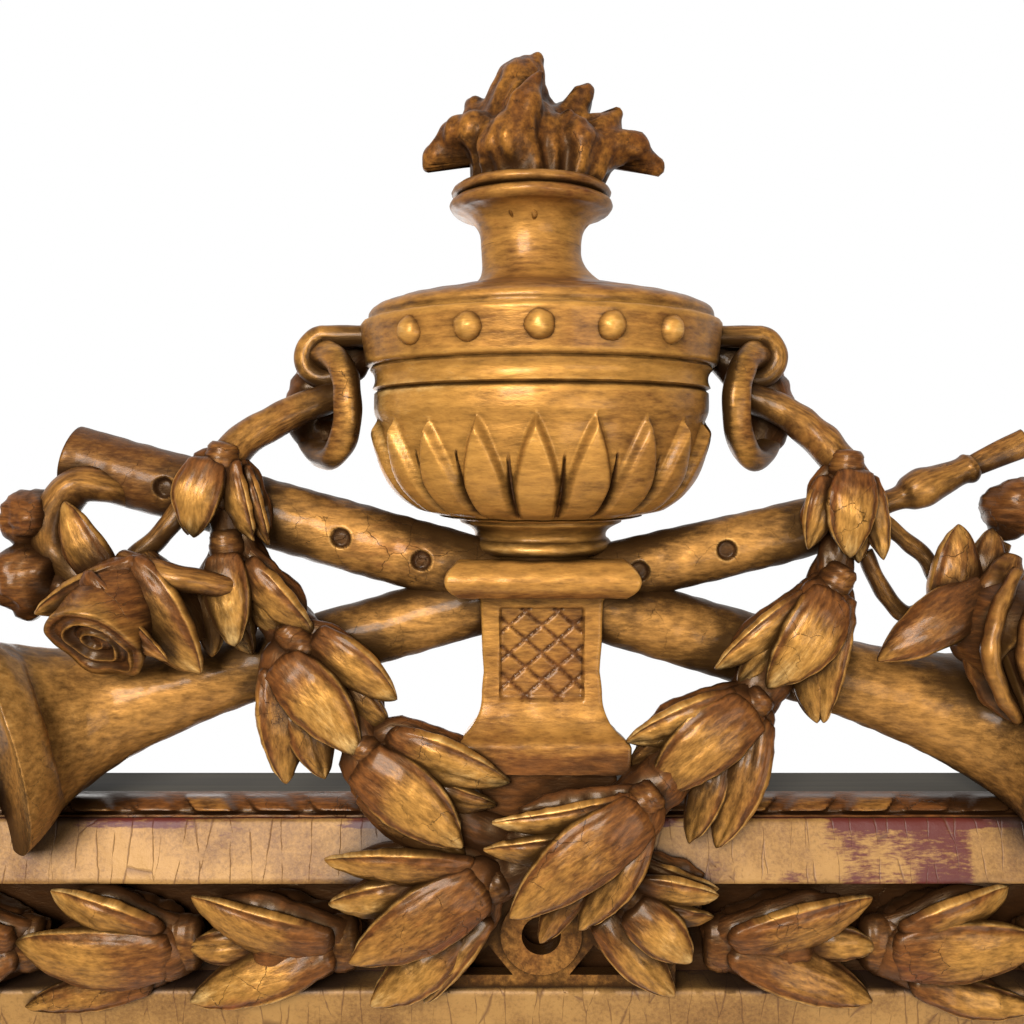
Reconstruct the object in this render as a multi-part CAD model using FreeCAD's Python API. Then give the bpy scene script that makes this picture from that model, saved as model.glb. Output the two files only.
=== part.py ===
import FreeCAD, Part
import math
import os

V = FreeCAD.Vector

# Carcass, millimetres
frame_width = 760.0
frame_height = 1060.0
rail_width = 100.0
carcass_depth = 24.0
tenon_length = 60.0
tenon_width = 50.0
tenon_thickness = 8.0
tenon_setback = 9.0
tenon_play = 0.1
tenon_end_gap = 1.0
peg_radius = 4.0
peg_length = 20.0
peg_spacing = 24.0

# Glass and back
board_thickness = 8.0
board_lap = 24.0
board_count = 3
board_gap = 0.4
glass_thickness = 4.0
glass_lap = 12.0
glass_play = 1.0
block_length = 40.0
block_width = 10.0
block_thickness = 6.0
block_spacing = 300.0
nail_radius = 1.2
nail_length = 17.0
nail_head_radius = 3.0
nail_head_thickness = 1.2
nail_margin = 10.0
nail_spacing = 120.0

# Gilt moulding, widths inward from the outer edge and rises from the carcass face
roll_width = 6.0
roll_rise = 16.0
roll_swell = 1.6
band_width = 24.0
band_rise = 24.0
channel_width = 45.0
channel_floor = 6.0
inner_width = 18.0
inner_rise = 22.0
inner_fall = 2.0
slip_width = 13.0
slip_rise = 15.0
slip_edge = 4.0

# Pierced plaque in the top frieze
plaque_width = 110.0
plaque_thickness = 6.0
plaque_set_forward = 7.0
plaque_ring_radius = 16.5
plaque_ring_proud = 2.0
plaque_eye_radius = 8.0
plaque_bar = 5.0
plaque_gap_width = 24.0

# Hangers on the back
hanger_drop = 260.0
hanger_inset = 38.0
strap_width = 16.0
strap_length = 40.0
strap_thickness = 1.5
knuckle_length = 16.0
knuckle_wall = 1.55
pivot_height = 4.0
wire_radius = 2.0
wire_play = 0.05
ring_radius = 14.0
ring_leg = 6.0
pocket_play = 3.0
pocket_rim = 0.4
screw_radius = 1.6
screw_length = 12.0
screw_head_radius = 3.0
screw_head_height = 1.4
screw_spacing = 20.0
screw_first = 11.0

# Iron strap behind the crest
iron_width = 30.0
iron_thickness = 3.0
iron_below = 64.0
iron_above = 150.0
iron_screw_levels = (-45.0, -20.0, 60.0, 135.0)

# Pedestal, levels above the frame's top
urn_proud = 22.0
plinth_half = 30.0
plinth_proud = 30.0
plinth_top = 18.0
base_half = 35.0
base_top = 34.0
base_ledge = 1.5
die_half = 24.0
die_flare_top = 54.0
die_flare_waist = 27.0
die_flare_level = 41.0
die_head_half = 25.0
cap_half = 38.5
cap_round = 6.0
cap_bottom = 86.5
cap_top = 101.0
panel_width = 33.0
panel_bottom = 45.0
panel_top = 82.0
panel_depth = 1.6

# Urn, levels above the frame's top and radii
foot_ring_radius = 27.5
foot_ring_round = 1.8
foot_ring_top = 108.5
foot_waist = 24.5
foot_roll_bottom = 110.5
foot_radius = 33.5
foot_roll_inset = 2.5
foot_top = 117.0
bowl_foot_radius = 32.0
bowl_belly = 66.5
bowl_belly_level = 138.0
bowl_radius = 68.5
bowl_top = 168.0
rim_fillet = 1.5
rim_hollow_radius = 69.0
rim_hollow_level = 173.0
rim_step = 178.0
rim_step_radius = 71.8
rim_radius = 74.0
rim_top = 196.0
bead_radius = 6.2
bead_sink = 2.0
bead_level = 187.5
bead_count = 5
bead_pitch = 20.0
shoulder_bulge = 71.5
shoulder_bulge_level = 201.5
shoulder_break = 64.0
shoulder_break_level = 205.0
shoulder_top_radius = 29.0
shoulder_top = 213.5
neck_flare = 22.0
neck_flare_level = 218.5
neck_radius = 20.5
neck_joint = 227.0
neck_swell = 22.8
neck_swell_level = 236.0
neck_ring_bottom = 242.0
neck_ring_radius = 33.0
neck_ring_round = 1.4
neck_ring_notch = 246.4
neck_top = 250.0
neck_shift = -4.0

# Handles of the urn
loop_radius = 8.5
loop_wire = 5.0
loop_level = 181.5
loop_out = 86.0
loop_root = 60.0
handle_radius = 20.8
handle_wire = 4.8
handle_out = 88.5
handle_level = 163.0
handle_proud = 26.0
handle_turn = 55.0

# Shawms: stations of across, proud, up and radius
pipe_proud = 30.0
hole_radius = 3.8
hole_depth = 5.0
mouth_wall = 3.5
mouth_depth = 7.0
mouth_throat = 14.0
upper_left_stations = ((-18, pipe_proud, 92, 14.5), (-191, pipe_proud, 141, 13.5))
upper_left_holes = ((-150, 129.5), (-80, 109.5), (-48, 100.5))
upper_right_stations = (
    (18, pipe_proud, 91, 13.0), (106, pipe_proud, 112, 12.0), (136, pipe_proud, 121, 10.5))
upper_right_holes = ((74, 104.5), (39, 96.0))
mouthpiece_stations = (
    (136, pipe_proud, 121, 5.0), (147, pipe_proud, 125, 4.6), (155, pipe_proud, 128.5, 8.0),
    (166, pipe_proud, 133, 6.0), (174, pipe_proud, 137, 4.5))
reed_length = 24.0
reed_width = 11.0
reed_thickness = 3.0
lower_left_stations = (
    (-16, pipe_proud, 85, 13.5), (-68, pipe_proud, 70, 13.8), (-120, pipe_proud, 55, 14.5),
    (-150, 28, 46, 17.5), (-180, 28, 38, 24), (-204, 36, 32, 34), (-220, 50, 28, 46))
lower_right_stations = (
    (16, pipe_proud, 83, 14.5), (68, pipe_proud, 67.5, 14.8), (120, pipe_proud, 52, 15.5),
    (150, 28, 43, 18.5), (180, 28, 35, 25), (204, 36, 29, 34), (220, 50, 25, 46))

# Branches that leave the handle rings
branch_left_stations = ((-82, 27, 167, 6.0), (-100, 33, 160, 6.5), (-116, 41, 150, 7.0), (-125, 47, 140, 7.0))
branch_right_stations = ((82, 27, 168, 6.0), (98, 33, 160, 6.5), (110, 41, 149, 7.0), (118, 47, 138, 7.0))

# Leaf form: shares of length and of half width, then thickness and arch
leaf_shares = ((0.0, 0.45), (0.22, 0.86), (0.48, 1.0), (0.76, 0.68), (1.0, 0.1))
leaf_crown = 5.5
leaf_belly = 2.6
leaf_thinning = 0.4
leaf_arch = 3.0
collar_radius = 7.0
collar_shares = ((-1, 0.6), (-0.4, 1), (0.4, 1), (1, 0.6))
leaf_stalk = 2.4
shaving = 60.0

# Laurel bunches of the garlands: collar (across, proud, up), then leaves as
# base across, base up, aim in degrees, length, width, proud beyond the collar
garland = {
    "garland_left_1": ((-125, 50, 139), (
        (-4, -1, -102, 28, 19, 4), (5, -2, -73, 29, 13, 1), (-10, -7, -99, 21, 12, -1),
        (9, -4, -71, 29, 11, -2))),
    "garland_left_2": ((-123, 50, 105), (
        (0, -3, -83, 34, 17, 4), (9, -7, -42, 33, 15, 1), (12, -17, -46, 14, 10, -1),
        (-8, -11, -85, 29, 13, -1), (-3, -15, -79, 27, 12, -2))),
    "garland_left_3": ((-96, 52, 70), (
        (-4, -9, -50, 45, 25, 5), (-8, -14, -85, 41, 15, 1), (0, -26, -75, 29, 15, -1),
        (9, 0, -36, 37, 16, 1), (20, -20, -39, 21, 12, -2))),
    "garland_left_4": ((-67, 55, 26), (
        (-1, -3, -41, 49, 29, 4), (9, 5, -19, 48, 20, 1), (24, -13, -13, 26, 10, -1),
        (-1, -15, -29, 45, 14, -3))),
    "garland_right_1": ((118, 50, 136), (
        (2, -2, -94, 31, 19, 4), (-8, -5, -104, 26, 13, 1), (9, -5, -78, 30, 11, 1),
        (6, -14, -89, 22, 11, -2))),
    "garland_right_2": ((114, 50, 92), (
        (-3, -5, -124, 42, 26, 5), (3, -7, -97, 48, 16, 1), (-12, -7, -144, 43, 15, 1),
        (-20, -16, -126, 29, 14, -1), (-9, -28, -80, 28, 14, -2))),
    "garland_right_3": ((81, 53, 44), (
        (-2, -1, -140, 49, 28, 5), (-7, 2, -161, 44, 19, 1), (-28, -10, -147, 23, 13, -2),
        (3, -6, -107, 53, 19, 1), (-12, -18, -105, 38, 16, -1))),
    "garland_right_4": ((37, 66, 10), (
        (-1, -3, -142, 62, 28, 5), (-5, 1, -173, 52, 15, 1), (-20, -14, -177, 40, 16, -1),
        (0, -9, -120, 46, 17, 1), (-22, -32, -124, 28, 13, -2))),
    "garland_left_5": ((33, 54, -30), (
        (4, -6, -42, 29, 22, 4), (6, 4, -6, 31, 15, 1), (10, -5, -12, 26, 13, -1),
        (-8, -12, -48, 42, 18, -1), (8, 10, -16, 31, 12, -3))),
    "garland_right_5": ((-21, 54, -28), (
        (-4, 2, -150, 58, 29, 5), (-8, 8, 176, 57, 19, 1), (-28, -2, -173, 36, 18, -1),
        (-13, -19, -139, 45, 21, -1), (-3, -14, -123, 41, 17, -2))),
}

# Laurel bunches of the friezes, pointing along +X, collar on the run's line
frieze_level = -57.0
frieze_proud = 42.0
frieze_pitch = 64.0
frieze_stem = 3.5
frieze_leaves = (
    ((4, 4, 19, 57, 24, 6), (4, 0, -22, 60, 26, 4), (34, 2, -3, 27, 15, 2)),
    ((5, -2, 6, 60, 30, 6), (9, 7, 25, 45, 20, 4), (14, -14, -12, 50, 15, 4)))
frieze_left_start = -83.0
frieze_left_count = 4
frieze_right_start = 75.0
frieze_right_count = 4
frieze_corner_room = 104.0
frieze_middle_gap = 6.0

# Flame: root and tip as across, proud, up, bend toward the tip's side, width
flame_root_level = 252.0
flame_root_spread = 16.0
flame_core_radius = 28.0
flame_core_top = 281.0
flame_core_tip = 6.0
flame_thickness = 8.0
flame_tongues = (
    (-4, 22, 304, -6, 40), (-25, 20, 290, -4, 22), (-49, 24, 267, -6, 22), (16, 22, 290, 6, 24),
    (33, 20, 276, 5, 22), (47, 24, 262, 6, 20), (-6, 46, 281, 3, 22), (12, 46, 276, -3, 24),
    (-24, 40, 272, -3, 22))

# Roses: seat (across, proud, up), direction the bloom faces, radius and length
rose_radius = 21.0
rose_length = 30.0
rose_lip = 2.0
rose_hollow = 9.0
rose_bud_radius = 9.0
rose_stalk_radius = 6.0
rose_left_seat = (-155, 48, 87)
rose_left_faces = (-0.5, -0.65, -0.55)
rose_right_seat = (166, 47, 86)
rose_right_faces = (0.55, -0.6, -0.5)
sepal_lift = 9.0
sepals_left = ((-158, 92, 200, 44, 18), (-156, 92, -35, 46, 18))
sepals_right = ((168, 84, -150, 41, 18), (170, 90, 20, 34, 18))
spray_left_leaves = ((-166, 93, 118, 34, 16), (-180, 99, 74, 35, 13))
spray_left_stem = ((-160, 46, 94, 4.5), (-124, 48, 92, 4.5))
spray_left_twig = ((-162, 45, 100, 3.0), (-151, 44, 111, 3.0), (-144, 42, 124, 3.0))
spray_left_stalk = ((-158, 46, 94, 3.5), (-178, 47, 101, 3.5), (-194, 46, 110, 3.0))
spray_right_leaves = ((157, 86, 84, 28, 16), (166, 92, 75, 22, 12))
spray_right_stem = ((160, 46, 88, 4.0), (146, 46, 79, 3.5), (131, 44, 96, 3.0))
spray_right_twig = ((157, 46, 92, 3.0), (152, 45, 102, 3.0), (134, 40, 114, 3.0))
spray_right_stalk = ((164, 46, 88, 3.5), (176, 47, 96, 3.5), (182, 46, 108, 3.0))
bud_radius = 10.0
bud_shares = ((-0.6, 0.4), (0.1, 1), (1, 0.9), (1.8, 0.3))
spray_proud = 48.0

# Worked out
frame_top = frame_height / 2
clear_width = frame_width - 2 * rail_width
clear_height = frame_height - 2 * rail_width
face_width = roll_width + band_width + channel_width + inner_width
glass_back = board_thickness + block_thickness
glass_front = glass_back + glass_thickness
reach = frame_width + frame_height
nodes = {}


def block(width, height, back, front, x=0.0, z=0.0):
    # Box centred on x and z, between two distances in front of the wall
    return Part.makeBox(width, front - back, height, V(x - width / 2, -front, z - height / 2))


def crest(across, proud, up):
    return V(across, -proud, frame_top + up)


def carve(shape, others):
    # Cut a piece back to its neighbours and leave the shavings out
    for other in others:
        if shape.BoundBox.intersect(other.BoundBox):
            shape = shape.cut(other)
    solids = [solid for solid in shape.Solids if solid.Volume > shaving]
    return solids[0] if len(solids) == 1 else Part.makeCompound(solids)


def outline(points):
    # Closed wire: a pair is a line's end, four numbers are an arc's middle and end
    edges = []
    last = V(points[0][0], 0, points[0][1])
    for step in points[1:] + points[:1]:
        end = V(step[-2], 0, step[-1])
        if len(step) == 4:
            edges.append(Part.Arc(last, V(step[0], 0, step[1]), end).toShape())
        else:
            edges.append(Part.makeLine(last, end))
        last = end
    return Part.Wire(edges)


def turned(points, across):
    solid = Part.Face(outline(points)).revolve(V(), V(0, 0, 1), 360)
    solid.translate(crest(across, urn_proud, 0))
    return solid.cut(wall).Solids[0]


def hoop(radius, centre, heading):
    # Circle square to the heading, begun level so that lofts don't twist
    level = heading.cross(V(0, 0, 1))
    turn = FreeCAD.Rotation(level, heading.cross(level), heading, "ZXY")
    circle = Part.makeCircle(radius)
    circle.Placement = FreeCAD.Placement(centre, turn)
    return Part.Wire(circle)


def limb(stations):
    # Round tapering limb through stations, each section square to the path
    points = [crest(*station[:3]) for station in stations]
    wires = []
    for index, station in enumerate(stations):
        ahead = points[min(index + 1, len(points) - 1)]
        behind = points[max(index - 1, 0)]
        wires.append(hoop(station[3], points[index], ahead - behind))
    return Part.makeLoft(wires, True, False)


def blade(root, bend, tip, face, width, crown, belly):
    # Leaf: lens sections along a quadratic curve, facing the given way
    wires = []
    for along, share in leaf_shares:
        rest = 1 - along
        centre = root * (rest * rest) + bend * (2 * rest * along) + tip * (along * along)
        heading = (bend - root) * rest + (tip - bend) * along
        across = heading.cross(face).normalize()
        out = across.cross(heading).normalize()
        half = across * (width / 2 * share)
        depth = leaf_thinning + (1 - leaf_thinning) * share
        top = Part.Arc(centre - half, centre + out * (crown * depth), centre + half)
        under = Part.Arc(centre + half, centre - out * (belly * depth), centre - half)
        wires.append(Part.Wire([top.toShape(), under.toShape()]))
    return Part.makeLoft(wires, True, False)


def leaf(x, proud, z, aim, length, width):
    root = V(x, -proud, z)
    tip = root + V(length * math.cos(math.radians(aim)), 0, length * math.sin(math.radians(aim)))
    face = V(0, -1, 0)
    bend = (root + tip) * 0.5 + face * leaf_arch
    return blade(root, bend, tip, face, width, leaf_crown, leaf_belly)


def knob(point, heading, radius, shares):
    # Barrel or bud about a point, shares as reach along the heading and width
    stations = []
    for along, wide in shares:
        place = point + heading * (along * radius)
        stations.append((place.x, -place.y, place.z - frame_top, wide * radius))
    return limb(stations)


def bunch(x, proud, z, leaves, flip=1):
    # Collar and its leaves fused; flip mirrors the bunch across
    solids = []
    collar = V(x, -proud, z)
    aim = math.radians(leaves[0][2])
    heading = V(flip * math.cos(aim), 0, math.sin(aim))
    for across, up, aim, length, width, lift in leaves:
        turn = aim if flip > 0 else 180 - aim
        root = collar + V(flip * across, -lift, up)
        solids.append(leaf(root.x, -root.y, root.z, turn, length, width))
        if (root - collar).Length > collar_radius:
            reach_out = (root - collar).Length + leaf_stalk
            solids.append(Part.makeCylinder(leaf_stalk, reach_out, collar, root - collar))
    return knob(collar, heading, collar_radius, collar_shares).multiFuse(solids)


def member(points, length):
    # Mitred length with its outer edge at z zero, points as inward and forward
    edge = max(point[-2] for point in points)
    half = length / 2
    face = Part.Face(outline(points))
    stand = FreeCAD.Rotation(V(0, 0, -1), V(1, 0, 0), V(0, -1, 0), "ZXY")
    face.Placement = FreeCAD.Placement(V(-half, 0, 0), stand)
    corners = [V(-half, 0, 0), V(half, 0, 0), V(half - edge, 0, -edge), V(edge - half, 0, -edge)]
    mitre = Part.Face(Part.makePolygon(corners + corners[:1])).extrude(V(0, -reach, 0))
    return face.extrude(V(length, 0, 0)).common(mitre).Solids[0]


def seat(shape, side):
    # Put a member made at the top on one of the four sides
    turn, distance = sides[side][1:]
    shape = shape.copy()
    shape.translate(V(0, 0, distance))
    shape.rotate(V(), V(0, 1, 0), turn)
    return shape


wall = Part.makeBox(reach, reach, 2 * reach, V(-reach / 2, 0, -reach))
sides = {
    "top": (frame_width, 0, frame_height / 2),
    "right": (frame_height, 90, frame_width / 2),
    "bottom": (frame_width, 180, frame_height / 2),
    "left": (frame_height, -90, frame_width / 2)}

# Screws for the hangers and the iron strap, heads flush with the metal
hanger_level = frame_top - hanger_drop
hanger_across = frame_width / 2 - hanger_inset
pocket_floor = pivot_height + wire_radius + knuckle_wall + wire_play + pocket_rim


def screw(x, face, z):
    shank = Part.makeCylinder(screw_radius, screw_length, V(x, -face, z), V(0, -1, 0))
    head = Part.makeCone(screw_head_radius, screw_radius, screw_head_height, V(x, -face, z), V(0, -1, 0))
    return shank.fuse(head)


screws = [screw(0, 0, frame_top + level) for level in iron_screw_levels]
for side in (-1, 1):
    for row in range(2):
        level = hanger_level - screw_first - row * screw_spacing
        screws.append(screw(side * hanger_across, pocket_floor - strap_thickness, level))
nodes["wood_screws"] = Part.makeCompound(screws)

# Iron strap, let in flush behind the pedestal and the top rail
iron_height = iron_below + iron_above
iron_middle = frame_top + (iron_above - iron_below) / 2
iron = block(iron_width, iron_height, 0, iron_thickness, 0, iron_middle)
nodes["crest_strap"] = iron.cut(screws).Solids[0]

# Hanger plates and rings in pockets of the stiles
ring_reach = ring_leg + ring_radius + wire_radius
pocket_width = 2 * (ring_radius + wire_radius + pocket_play)
pocket_above = ring_reach + pocket_play
pocket_below = max(strap_length, ring_reach) + pocket_play
pocket_height = pocket_above + pocket_below
knuckle_radius = wire_radius + wire_play + knuckle_wall
pivot_proud = pocket_floor - pivot_height
pockets = []


def hanger_plate(x):
    strap = block(strap_width, strap_length, pocket_floor - strap_thickness, pocket_floor,
                  x, hanger_level - strap_length / 2)
    pivot = V(x - knuckle_length / 2, -pivot_proud, hanger_level)
    knuckle = Part.makeCylinder(knuckle_radius, knuckle_length, pivot, V(1, 0, 0))
    bore = Part.makeCylinder(wire_radius + wire_play, knuckle_length, pivot, V(1, 0, 0))
    return strap.fuse(knuckle).cut([bore] + screws).Solids[0]


def hanging_ring(x):
    # Bar through the knuckle, two legs and a half round bow
    pivot = V(x, -pivot_proud, hanger_level)
    bow = Part.makeTorus(ring_radius, wire_radius, pivot - V(0, 0, ring_leg), V(0, 1, 0))
    upper = block(4 * ring_radius, 2 * ring_radius, -reach, reach, x, hanger_level - ring_leg + ring_radius)
    pieces = [bow.cut(upper)]
    for end in (-1, 1):
        corner = pivot + V(end * ring_radius, 0, 0)
        pieces.append(Part.makeSphere(wire_radius, corner))
        pieces.append(Part.makeCylinder(wire_radius, ring_leg, corner, V(0, 0, -1)))
    bar = Part.makeCylinder(wire_radius, 2 * ring_radius, pivot - V(ring_radius, 0, 0), V(1, 0, 0))
    return bar.multiFuse(pieces).Solids[0]


for name, side in (("left", -1), ("right", 1)):
    place = side * hanger_across
    level = hanger_level + (pocket_above - pocket_below) / 2
    pockets.append(block(pocket_width, pocket_height, 0, pocket_floor, place, level))
    nodes["hanger_plate_" + name] = hanger_plate(place)
    nodes["hanging_ring_" + name] = hanging_ring(place)

# Glass, glazing blocks, backboards and nails
glass_width = clear_width + 2 * (glass_lap - glass_play)
glass_height = clear_height + 2 * (glass_lap - glass_play)
nodes["mirror_glass"] = block(glass_width, glass_height, glass_back, glass_front)
back_width = clear_width + 2 * board_lap
back_height = clear_height + 2 * board_lap
blocks = []
block_inset = (glass_lap - glass_play - block_width) / 2 + block_width / 2
for sign in (-1, 1):
    across = sign * (clear_width / 2 + block_inset)
    up = sign * (clear_height / 2 + block_inset)
    for step in (-block_spacing / 2, block_spacing / 2):
        blocks.append(block(block_width, block_length, board_thickness, glass_back, across, step))
        blocks.append(block(block_length, block_width, board_thickness, glass_back, step, up))
nodes["glazing_blocks"] = Part.makeCompound(blocks)

board_width = (back_width - (board_count - 1) * board_gap) / board_count
nail_up = clear_height / 2 + board_lap - nail_margin
nails = []
boards = {}
for index, name in enumerate(("left", "middle", "right")):
    across = (index - (board_count - 1) / 2) * (board_width + board_gap)
    boards["backboard_" + name] = block(board_width, back_height, 0, board_thickness, across, 0)
    for sign in (-1, 1):
        for end in (-1, 1):
            place = V(across + sign * nail_spacing / 2, 0, end * nail_up)
            shank = Part.makeCylinder(nail_radius, nail_length, place, V(0, -1, 0))
            head = Part.makeCylinder(nail_head_radius, nail_head_thickness, place, V(0, -1, 0))
            nails.append(shank.fuse(head))
nodes["backboard_nails"] = Part.makeCompound(nails)
for name, board in boards.items():
    nodes[name] = carve(board, nails)

# Carcass with its rebates, mortises, pegs and pockets
rebates = [
    block(back_width, back_height, 0, board_thickness),
    block(clear_width + 2 * glass_lap, clear_height + 2 * glass_lap, board_thickness, glass_front)]
pegs = []
mortises = []
tenon_front = tenon_setback + tenon_thickness
for end in (-1, 1):
    up = end * (frame_top - rail_width / 2)
    mortises.append(block(
        clear_width + 2 * (tenon_length + tenon_end_gap), tenon_width + 2 * tenon_play,
        tenon_setback - tenon_play, tenon_front + tenon_play, 0, up))
    for side in (-1, 1):
        across = side * (clear_width / 2 + tenon_length / 2)
        for row in (-1, 1):
            place = V(across, 0, up + row * peg_spacing / 2)
            pegs.append(Part.makeCylinder(peg_radius, peg_length, place, V(0, -1, 0)))
nodes["corner_pegs"] = Part.makeCompound(pegs)
fasteners = nails + screws + pegs
for name, side in (("left", -1), ("right", 1)):
    across = side * (frame_width - rail_width) / 2
    stile = block(rail_width, frame_height, 0, carcass_depth, across)
    nodes["carcass_stile_" + name] = carve(stile, rebates + mortises + pockets + fasteners)
for name, end in (("bottom", -1), ("top", 1)):
    up = end * (frame_top - rail_width / 2)
    rail = block(clear_width, rail_width, 0, carcass_depth, 0, up)
    tenon = block(clear_width + 2 * tenon_length, tenon_width, tenon_setback, tenon_front, 0, up)
    nodes["carcass_rail_" + name] = carve(rail.fuse(tenon), rebates + fasteners + [iron])

# Gilt mouldings and sight slips, mitred at the corners
roll_front = carcass_depth + roll_rise
band_front = carcass_depth + band_rise
floor_front = carcass_depth + channel_floor
inner_front = carcass_depth + inner_rise
channel_start = roll_width + band_width
channel_end = channel_start + channel_width
face_points = [
    (0, carcass_depth), (roll_swell, roll_front - roll_swell, roll_width, roll_front),
    (channel_start, band_front), (channel_start, floor_front), (channel_end, floor_front),
    (channel_end, inner_front), (face_width, inner_front - inner_fall), (face_width, carcass_depth)]
slip_points = [
    (face_width, carcass_depth), (face_width, carcass_depth + slip_rise),
    (face_width + slip_edge, carcass_depth + slip_rise),
    (face_width + slip_width - slip_edge, carcass_depth + slip_rise - slip_edge,
     face_width + slip_width, carcass_depth + slip_edge), (face_width + slip_width, carcass_depth)]
for name, (length, turn, distance) in sides.items():
    nodes["moulding_" + name] = seat(member(face_points, length), name)
    nodes["sight_slip_" + name] = seat(member(slip_points, length), name)

# Pierced plaque across the top frieze
plaque_back = floor_front + plaque_set_forward
plaque_front = plaque_back + plaque_thickness
plaque_level = frame_top - channel_start - channel_width / 2
plaque = block(plaque_width, channel_width, plaque_back, plaque_front, 0, plaque_level)
middle = V(0, -plaque_back, plaque_level)
ring_depth = plaque_thickness + plaque_ring_proud
boss = Part.makeCylinder(plaque_ring_radius, ring_depth, middle, V(0, -1, 0))
openings = []
for side in (-1, 1):
    for end in (-1, 1):
        edge = plaque_level + end * (channel_width / 2 - plaque_bar)
        inner = V(side * (plaque_ring_radius - plaque_bar), -plaque_back, edge)
        outer = inner + V(side * plaque_gap_width, 0, 0)
        low = V(side * (plaque_ring_radius + plaque_bar), -plaque_back, plaque_level + end * plaque_bar)
        face = Part.Face(Part.makePolygon([inner, outer, low, inner]))
        openings.append(face.extrude(V(0, -plaque_thickness, 0)))
eye = Part.makeCylinder(plaque_eye_radius, ring_depth, middle, V(0, -1, 0))
nodes["frieze_plaque"] = plaque.cut(openings).fuse(boss).cut(eye).Solids[0]

# Pedestal: the same outline across and forward, so its mouldings mitre
pedestal_side = [
    (base_half, plinth_top), (base_half, base_top - base_ledge), (base_half - base_ledge, base_top),
    (die_flare_waist, die_flare_level, die_half, die_flare_top), (die_head_half, cap_bottom),
    (cap_half - cap_round, cap_bottom),
    (cap_half, (cap_bottom + cap_top) / 2, cap_half - cap_round, cap_top)]


def flipped(points):
    # Same outline down the other side, arcs keeping their own middles
    back = []
    for index in range(len(points) - 1, -1, -1):
        end = (-points[index][-2], points[index][-1])
        after = points[index + 1] if index + 1 < len(points) else ()
        back.append((-after[0], after[1]) + end if len(after) == 4 else end)
    return back


front_face = Part.Face(outline(pedestal_side + flipped(pedestal_side)))
front_prism = front_face.extrude(V(0, -reach, 0))
side_face = Part.Face(outline(pedestal_side + flipped(pedestal_side)))
side_face.rotate(V(), V(0, 0, 1), 90)
side_prism = side_face.extrude(V(reach, 0, 0))
side_prism.translate(V(-reach / 2, -urn_proud, 0))
pedestal = front_prism.common(side_prism)
plinth = block(2 * plinth_half, plinth_top, 0, plinth_proud, 0, plinth_top / 2)
panel = block(panel_width, panel_top - panel_bottom, urn_proud + die_half - panel_depth,
              reach, 0, (panel_top + panel_bottom) / 2)
pedestal = pedestal.fuse(plinth).cut(panel)
pedestal.translate(V(0, 0, frame_top))
nodes["pedestal"] = carve(pedestal, [iron, nodes["moulding_top"]] + screws)

# Urn, turned in stages about one axis
nodes["urn_foot"] = carve(turned([
    (0, cap_top), (foot_ring_radius - foot_ring_round, cap_top),
    (foot_ring_radius, (cap_top + foot_ring_top) / 2, foot_ring_radius - foot_ring_round, foot_ring_top),
    (foot_waist, foot_ring_top), (foot_waist, foot_roll_bottom),
    (foot_radius - foot_roll_inset, foot_roll_bottom),
    (foot_radius, (foot_roll_bottom + foot_top) / 2, foot_radius - foot_roll_inset, foot_top),
    (0, foot_top)], 0), [iron] + screws)
nodes["urn_bowl"] = carve(turned([
    (0, foot_top), (bowl_foot_radius, foot_top),
    (bowl_belly, bowl_belly_level, bowl_radius, bowl_top), (0, bowl_top)], 0), [iron] + screws)
rim = turned([
    (0, bowl_top), (bowl_radius + rim_fillet, bowl_top),
    (rim_hollow_radius, rim_hollow_level, rim_step_radius - rim_fillet, rim_step),
    (rim_step_radius, rim_step), (rim_radius, rim_top), (0, rim_top)], 0)
beads = []
for index in range(bead_count):
    turn = math.radians(bead_pitch * (index - (bead_count - 1) / 2))
    out = (rim_step_radius + rim_radius) / 2 - bead_sink
    place = crest(out * math.sin(turn), urn_proud + out * math.cos(turn), bead_level)
    beads.append(Part.makeSphere(bead_radius, place))
nodes["urn_rim"] = rim.multiFuse(beads).Solids[0]
nodes["urn_shoulder"] = turned([
    (0, rim_top), (rim_radius, rim_top),
    (shoulder_bulge, shoulder_bulge_level, shoulder_break, shoulder_break_level),
    (shoulder_top_radius, shoulder_top), (neck_flare, neck_flare_level, neck_radius, neck_joint),
    (0, neck_joint)], 0)
ring_edge = neck_ring_radius - neck_ring_round
nodes["urn_neck"] = turned([
    (0, neck_joint), (neck_radius, neck_joint), (neck_swell, neck_swell_level, ring_edge, neck_ring_bottom),
    (neck_ring_radius, (neck_ring_bottom + neck_ring_notch) / 2, ring_edge, neck_ring_notch),
    (neck_ring_radius, (neck_ring_notch + neck_top) / 2, ring_edge, neck_top),
    (0, neck_top)], neck_shift)

# Flame: a core with curling tongues
flame_core = turned([
    (0, neck_top), (flame_core_radius, neck_top), (flame_core_radius, flame_root_level),
    (flame_core_tip, flame_core_top), (0, flame_core_top)], neck_shift)
tongues = []
for across, proud, up, bend, width in flame_tongues:
    tip = crest(across, proud, up)
    lean = V(across - neck_shift, urn_proud - proud, 0)
    root = crest(neck_shift, urn_proud, flame_root_level)
    if lean.Length > flame_root_spread:
        lean.multiply(flame_root_spread / lean.Length)
    root = root + lean
    face = V(lean.x, min(lean.y, 0) - flame_root_spread, 0)
    half = (root + tip) * 0.5 + V(bend, 0, 0)
    tongues.append(blade(root, half, tip, face, width, flame_thickness, flame_thickness))
below = Part.makeBox(reach, reach, reach, crest(-reach / 2, reach / 2, neck_top) - V(0, 0, reach))
nodes["urn_flame"] = carve(flame_core.multiFuse(tongues), [below, wall])

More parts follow.
